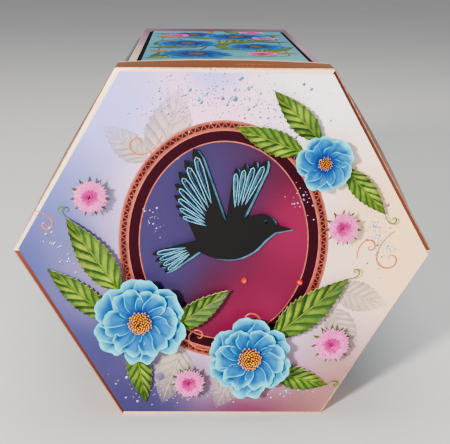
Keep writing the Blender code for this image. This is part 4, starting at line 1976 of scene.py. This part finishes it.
    def blossoms(self) -> None:
        """Blue blossoms with golden middles, and pink buds."""
        chance = random.Random(7)
        plans = ((-0.34, 0.20, 0.0200), (0.46, 0.42, 0.0170), (-0.44, 0.52, 0.0190), (0.26, 0.76, 0.0210),
                 (-0.36, 0.84, 0.0160))
        flowers, hearts = [], []
        for index, (across, along, radius) in enumerate(plans):
            place = Matrix.Translation(self.sides.spot(across, along, self.blossom_lift))
            ring = Ring(6, 0.10 * radius, radius, self.petal_top, 0.3 * index, self.petal_card,
                        ruffle=self.petal_ruffle, columns=8, rows=6)
            flower = ring.build(f"side_flower_{index}", chance, self.looks.printed_blue)
            flower.data.transform(place)
            flowers.append(flower)
            unselect()
            bpy.ops.mesh.primitive_uv_sphere_add(segments=12, ring_count=6, radius=0.24 * radius)
            heart = name_new(f"side_heart_{index}")
            heart.data.transform(place @ Matrix.Diagonal((1, 1, 0.04, 1)))
            hearts.append(heart)
        self.share_out("side_blossoms", "blue_petals", join("side_blue", flowers))
        self.share_out("side_hearts", "golden_stamens", join("side_heart", hearts), self.looks.printed_gold)
        bud_plans = ((0.48, 0.20, -0.9), (-0.62, 0.80, 0.6), (0.52, 0.92, -0.8), (0.66, 0.70, 0.1))
        buds = []
        for index, (across, along, turn) in enumerate(bud_plans):
            ring = Ring(5, 0.0006, 0.0085, self.petal_top, turn, self.petal_card,
                        ruffle=self.petal_ruffle, columns=6, rows=5)
            bud = ring.build(f"side_bud_{index}", chance, self.looks.printed_pink)
            bud.data.transform(Matrix.Translation(self.sides.spot(across, along, self.bud_lift)))
            buds.append(bud)
        self.share_out("side_buds", "pink_petals", join("side_bud", buds))


def smooth_run(spots: Sequence[Vector], steps: int) -> list[Vector]:
    """A smooth line through some places.

    Args:
        spots: The places.
        steps: How many steps lie between each two.

    Returns:
        The line's points.
    """
    padded = [spots[0], *spots, spots[-1]]
    line = []
    for before, first, second, after in zip(padded, padded[1:], padded[2:], padded[3:]):
        for step in range(steps):
            share = step / steps
            pull = (second - before) * share + (2 * before - 5 * first + 4 * second - after) * share ** 2
            pull += (3 * first - before - 3 * second + after) * share ** 3
            line.append(first + pull * 0.5)
    line.append(spots[-1])
    return line


@dataclass(frozen=True)
class Fan:
    """A fan of the cut-out bird's feathers, in metres before the bird's own scale."""

    root: Pair
    turns: Pair
    reaches: Pair
    feathers: int

    def loops(self) -> list[list[tuple[float, float, float]]]:
        """Draws a loop round the slit of each feather.

        Returns:
            Each loop's points.
        """
        outline = ((0.34, 0.0), (0.44, 0.20), (0.56, 0.31), (0.76, 0.35), (0.87, 0.22), (0.90, 0.0))
        outline += tuple((at, -half) for at, half in reversed(outline[1:-1]))
        pitch = abs(self.turns[1] - self.turns[0]) / self.feathers
        loops = []
        for index in range(self.feathers):
            share = (index + 0.5) / self.feathers
            turn = self.turns[0] + (self.turns[1] - self.turns[0]) * share
            reach = self.reaches[0] + (self.reaches[1] - self.reaches[0]) * share
            along = Vector((math.cos(turn), math.sin(turn)))
            across = Vector((-along.y, along.x)) * pitch
            spots = [Vector(self.root) + (along + across * half) * reach * at for at, half in outline]
            loops.append([(spot.x, spot.y, 0.0) for spot in spots])
        return loops


@dataclass(frozen=True)
class BirdLines:
    """The fine raised lines on the cut-out bird's feathers."""

    place: Pair = (0.02, 0.08)
    scale: float = 0.92
    half_width: float = 0.00023
    sink: float = 0.00004
    fans: tuple[Fan, ...] = (
        Fan((0.0030, 0.0050), (math.radians(62), math.radians(93)), (0.0400, 0.0300), 4),
        Fan((-0.0040, 0.0030), (math.radians(104), math.radians(163)), (0.0470, 0.0210), 7),
        Fan((-0.0130, -0.0040), (math.radians(188), math.radians(222)), (0.0270, 0.0250), 4),
    )

    def build(self, front: Front, finish: Material) -> None:
        """Lays the lines on the bird's face.

        Args:
            front: The lid's front.
            finish: The lines' finish.
        """
        wires = []
        for loop in (loop for fan in self.fans for loop in fan.loops()):
            widths = [self.half_width] * len(loop)
            wires.append(wire(f"feather_line_{len(wires)}", loop, widths, 0.6, closed=True))
        piece = join("feather_lines", wires)
        place = front.stand(self.place, front.rise("bird") - self.sink)
        piece.data.transform(place @ Matrix.Scale(self.scale, 4))
        dress(piece, finish)
        hand_over(piece, "turquoise_card")


@dataclass(frozen=True)
class Gem:
    """A small red gem with a flat table and bevelled facets."""

    node: str

    def build(self, front: Front, red: Material) -> None:
        """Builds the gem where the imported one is.

        Args:
            front: The lid's front.
            red: The gem's finish.
        """
        low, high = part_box(self.node)
        radius, rise = (high[0] - low[0]) / 2, high[1] - low[1]
        unselect()
        bpy.ops.mesh.primitive_cone_add(vertices=10, radius1=radius * 0.98, radius2=radius * 0.5, depth=rise)
        gem = name_new(self.node + "_cut")
        modify(gem, "BEVEL", width=radius * 0.08, segments=1)
        gem.data.transform(front.stand(front.spot(self.node), front.seat(self.node) + rise / 2))
        dress(gem, red)
        hand_over(gem, "red_gem", self.node)


def repaint(finish: Material, *nodes: str) -> None:
    """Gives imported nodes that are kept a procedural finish.

    Args:
        finish: The finish.
        *nodes: The nodes.
    """
    for name in nodes:
        for slot in NODES[name].material_slots:
            slot.material = finish


def place_camera(front: Front) -> None:
    """Puts the camera where the photograph was taken from.

    Args:
        front: The lid's front, which the place is measured from.
    """
    away = Vector((-0.0153, -0.4277, 0.1403))
    yaw, pitch, roll = (math.radians(turn) for turn in (-2.11, 16.43, 0.66))
    focal_px, frame_px, sensor_mm = 942.0, 450.0, 36.0
    ahead = Vector((-math.sin(yaw) * math.cos(pitch), math.cos(yaw) * math.cos(pitch), -math.sin(pitch)))
    right = Vector((math.cos(yaw), math.sin(yaw), 0.0))
    up = right.cross(ahead)
    right, up = right * math.cos(roll) + up * math.sin(roll), up * math.cos(roll) - right * math.sin(roll)
    data = bpy.data.cameras.new("camera")
    data.sensor_width = sensor_mm
    data.lens = focal_px / frame_px * sensor_mm
    camera = bpy.data.objects.new("camera", data)
    turn = Matrix((right, up, -ahead)).transposed().to_4x4()
    camera.matrix_world = Matrix.Translation(front.middle + away) @ turn
    bpy.context.scene.collection.objects.link(camera)
    bpy.context.scene.camera = camera


@dataclass(frozen=True)
class Lamp:
    """An area lamp that looks at the lid's front, and where it hangs from there."""

    name: str
    offset: tuple[float, float, float]
    size: float
    power: float
    colour: Colour

    def hang(self, front: Front) -> None:
        """Hangs the lamp.

        Args:
            front: The lid's front.
        """
        data = bpy.data.lights.new(self.name, "AREA")
        data.size = self.size
        data.energy = self.power
        data.color = self.colour
        lamp = bpy.data.objects.new(self.name, data)
        lamp.location = front.middle + Vector(self.offset)
        lamp.rotation_euler = (-Vector(self.offset)).to_track_quat("-Z", "Y").to_euler()
        bpy.context.scene.collection.objects.link(lamp)


def light_studio(front: Front) -> None:
    """A plain pale floor, a soft key from the upper left, a fill, a light from above and an even sky.

    Args:
        front: The lid's front, which the lamps look at.
    """
    bpy.ops.mesh.primitive_plane_add(size=16.0, location=(0.0, 0.0, 0.0))
    floor = name_new("floor")
    dress(floor, PlainFinish("pale floor", ink(226, 224, 220), ink(222, 220, 216), 3.0, 0.6).build())
    Lamp("key", (-0.75, -1.22, 0.50), 0.16, 58.0, (1.0, 0.97, 0.93)).hang(front)
    Lamp("fill", (0.9, -0.9, 0.5), 0.9, 6.0, (0.95, 0.97, 1.0)).hang(front)
    Lamp("over", (0.0, 0.3, 1.3), 1.0, 16.0, (1.0, 1.0, 1.0)).hang(front)
    world = bpy.data.worlds.new("sky")
    bpy.context.scene.world = world
    world.use_nodes = True
    sky = world.node_tree.nodes["Background"]
    sky.inputs["Color"].default_value = (0.80, 0.82, 0.86, 1.0)
    sky.inputs["Strength"].default_value = 0.40


class Finishes:
    """Every finish that the pieces share, mixed once."""

    def __init__(self, front: Front, sides: Sides) -> None:
        """Mixes them.

        Args:
            front: The lid's front.
            sides: The body's sides.
        """
        self.mix_card()
        self.mix_foil()
        self.mix_prints(front.middle.z, sides.axis.x)
        self.mix_petals()
        self.mix_leaves()
        self.mix_lines()
        self.mix_droplets()

    def mix_card(self) -> None:
        """Mixes the plain cards, the foam and the gems."""
        self.core = PlainFinish("card core", ink(236, 224, 214), ink(216, 202, 192), 2400.0, 0.7).build()
        self.foam = PlainFinish(
            "white foam", ink(230, 230, 228), ink(212, 212, 210), 1500.0, 0.8, relief=0.0002).build()
        self.cut_black = PlainFinish(
            "black cut card", ink(5, 5, 5), ink(9, 8, 8), 1800.0, 0.6, relief=0.00003, gloss=0.12).build()
        self.mat_black = PlainFinish(
            "black card", ink(2, 2, 3), ink(6, 6, 7), 1800.0, 0.8, gloss=0.04).build()
        self.turquoise = PlainFinish(
            "turquoise card", ink(100, 186, 212), ink(44, 130, 172), 200.0, 0.3, 0.2).build()
        self.red = PlainFinish("red gem", ink(170, 10, 4), ink(200, 44, 10), 600.0, 0.1, coat=1.0).build()

    def mix_foil(self) -> None:
        """Mixes the lid's mirror card and the foils."""
        # The deep and pale colours are painted reflections, dark and bright; the foil between them is the
        # copper's own.
        self.copper = MirrorFinish(
            "copper mirror card", ink(92, 48, 42), ink(246, 142, 92), ink(255, 222, 182), ink(250, 216, 192),
            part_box("lid")[1][1]).build()
        self.foil = PlainFinish("copper foil", ink(188, 96, 78), ink(160, 74, 58), 500.0, 0.4, 0.4).build()
        self.scroll_foil = PlainFinish(
            "scroll foil", ink(206, 104, 50), ink(170, 76, 30), 500.0, 0.4, 0.3).build()

    def mix_prints(self, level: float, middle: float) -> None:
        """Mixes the body's print, which ends in plum at the far end, darkened there as painted shade, and the
        pictures' ground.

        Args:
            level: The height of the body's axis.
            middle: Where that axis lies across the box.
        """
        low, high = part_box("box_body")
        self.pastel = PrintFinish("pastel print", ink(196, 150, 170), (
            Wash((low[0], low[1], level), 0.22, ink(230, 206, 152)),
            Wash((high[0], low[1], level), 0.22, ink(112, 72, 100)),
            # Plum print at the far end, darkened as painted shade where the light falls off.
            Wash((middle, high[1], level), 0.22, ink(62, 12, 40)),
        )).build()
        self.teal = PrintFinish("teal picture", ink(40, 130, 150), (
            Wash((low[0], high[1], high[2]), 0.16, ink(66, 160, 168)),
            Wash((high[0], high[1], low[2]), 0.16, ink(66, 160, 168)),
            Wash((low[0], low[1], low[2]), 0.16, ink(30, 96, 140)),
            Wash((high[0], low[1], high[2]), 0.14, ink(104, 176, 164)),
        ), roughness=0.4, coat=0.2).build()

    def mix_petals(self) -> None:
        """Mixes the flowers' finishes, on the front and in the pictures."""
        azure = PetalFinish(
            "blue petals", ink(0, 40, 112), ink(0, 106, 162), ink(72, 206, 220), ink(6, 8, 56))
        azure_edge = PlainFinish("petal edge", ink(120, 196, 224), ink(90, 176, 214), 900.0, 0.6)
        self.petals = Stock(azure.build(), azure_edge.build())
        self.stamens = PlainFinish(
            "golden stamens", ink(244, 168, 8), ink(206, 112, 2), 700.0, 0.45, gloss=0.25).build()
        # The stalks and the knob are amber, kept dark as painted shade round and under the stamen heads.
        self.amber = PlainFinish(
            "amber stalks", ink(112, 44, 2), ink(60, 22, 4), 500.0, 0.5, gloss=0.2).build()
        self.pink = StrandFinish(
            "pink strands", ink(110, 0, 62), ink(186, 8, 106), ink(232, 112, 190)).build()
        self.deep_pink = StrandFinish(
            "deep pink strands", ink(90, 0, 56), ink(130, 0, 84), ink(206, 40, 140)).build()
        blue = PetalFinish(
            "printed blue", ink(2, 20, 84), ink(0, 66, 138), ink(16, 132, 190), ink(8, 8, 40))
        pink = PetalFinish(
            "pink petals", ink(150, 10, 84), ink(206, 40, 128), ink(244, 130, 190), ink(110, 6, 60))
        self.printed_blue, self.printed_pink = (Stock(face, face) for face in (blue.build(), pink.build()))
        self.printed_gold = PlainFinish(
            "printed gold", ink(136, 76, 6), ink(30, 14, 2), 700.0, 0.45, gloss=0.2).build()

    def mix_leaves(self) -> None:
        """Mixes the leaves' finishes: green, turned golden, and faint ones under the others."""
        green = LeafFinish("green leaves", ink(140, 162, 8), ink(38, 76, 2), ink(4, 22, 2))
        leaf_edge = PlainFinish("leaf edge", ink(186, 192, 120), ink(150, 162, 84), 900.0, 0.6)
        self.leaf = Stock(green.build(), leaf_edge.build())
        self.golden_leaf = LeafFinish(
            "golden leaves", ink(206, 150, 20), ink(150, 90, 10), ink(84, 40, 8)).build()
        self.ghost = LeafFinish(
            "ghost leaves", ink(240, 222, 190), ink(196, 176, 160), ink(150, 130, 130), cover=0.42).build()

    def mix_lines(self) -> None:
        """Mixes the finishes of stems, twigs and fine lines."""
        self.stem = PlainFinish(
            "green stems", ink(84, 120, 24), ink(40, 74, 12), 300.0, 0.5, gloss=0.2).build()
        self.twig = PlainFinish("dark twig", ink(52, 34, 22), ink(28, 18, 14), 600.0, 0.6).build()
        self.fine_line = PlainFinish("fine line", ink(12, 36, 44), ink(26, 60, 66), 60.0, 0.5).build()
        self.pale_blue = PlainFinish(
            "pale blue lines", ink(120, 190, 214), ink(60, 140, 180), 260.0, 0.35, gloss=0.3).build()

    def mix_droplets(self) -> None:
        """Mixes the droplets' painted shade, body and highlight: for small, large and rose ones on the pale
        print, and on the dark.
        """
        self.dark_droplets = (
            DropFinish("deep droplets", ink(4, 4, 16), ink(18, 28, 58), ink(104, 152, 190)).build(),
            DropFinish("sky droplets", ink(14, 34, 66), ink(74, 124, 172), ink(206, 234, 246)).build(),
            DropFinish("rose droplets", ink(56, 14, 44), ink(140, 70, 112), ink(240, 200, 222)).build(),
        )
        pearl = DropFinish("pearl droplets", ink(44, 38, 76), ink(108, 92, 140), ink(220, 200, 222)).build()
        self.light_droplets = (pearl, pearl, pearl)


def main() -> None:
    """Builds and dresses the whole box, in order, and reports each piece."""
    logging.basicConfig(level=logging.INFO, format="%(message)s")
    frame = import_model()
    NODES.update(frame["nodes"])
    front = Front.of_frame()
    sides = Sides.of_frame(front)
    place_camera(front)
    light_studio(front)
    looks = Finishes(front, sides)

    Lid().build(looks.copper, looks.core)
    Body().build(looks.pastel)
    repaint(looks.mat_black, *(f"side_mat_{side}" for side in range(1, 7)))
    repaint(looks.teal, *(f"side_picture_{side}" for side in range(1, 7)))
    SideArt(sides, looks).build()
    FrontArt(front, looks).build()
    repaint(looks.cut_black, "bird")
    repaint(looks.turquoise, "bird_backing")
    BirdLines().build(front, looks.pale_blue)
    repaint(looks.foam, *(name for name in NODES if "_pad" in name))
    for plan in LEAVES:
        plan.build(front, looks.leaf)
    for bloom in BLOSSOMS:
        bloom.build(front, looks)
    for pompon in POMPONS:
        pompon.build(front, looks)
    for node in ("gem_middle", "gem_right"):
        Gem(node).build(front, looks.red)


if __name__ == "__main__":
    main()
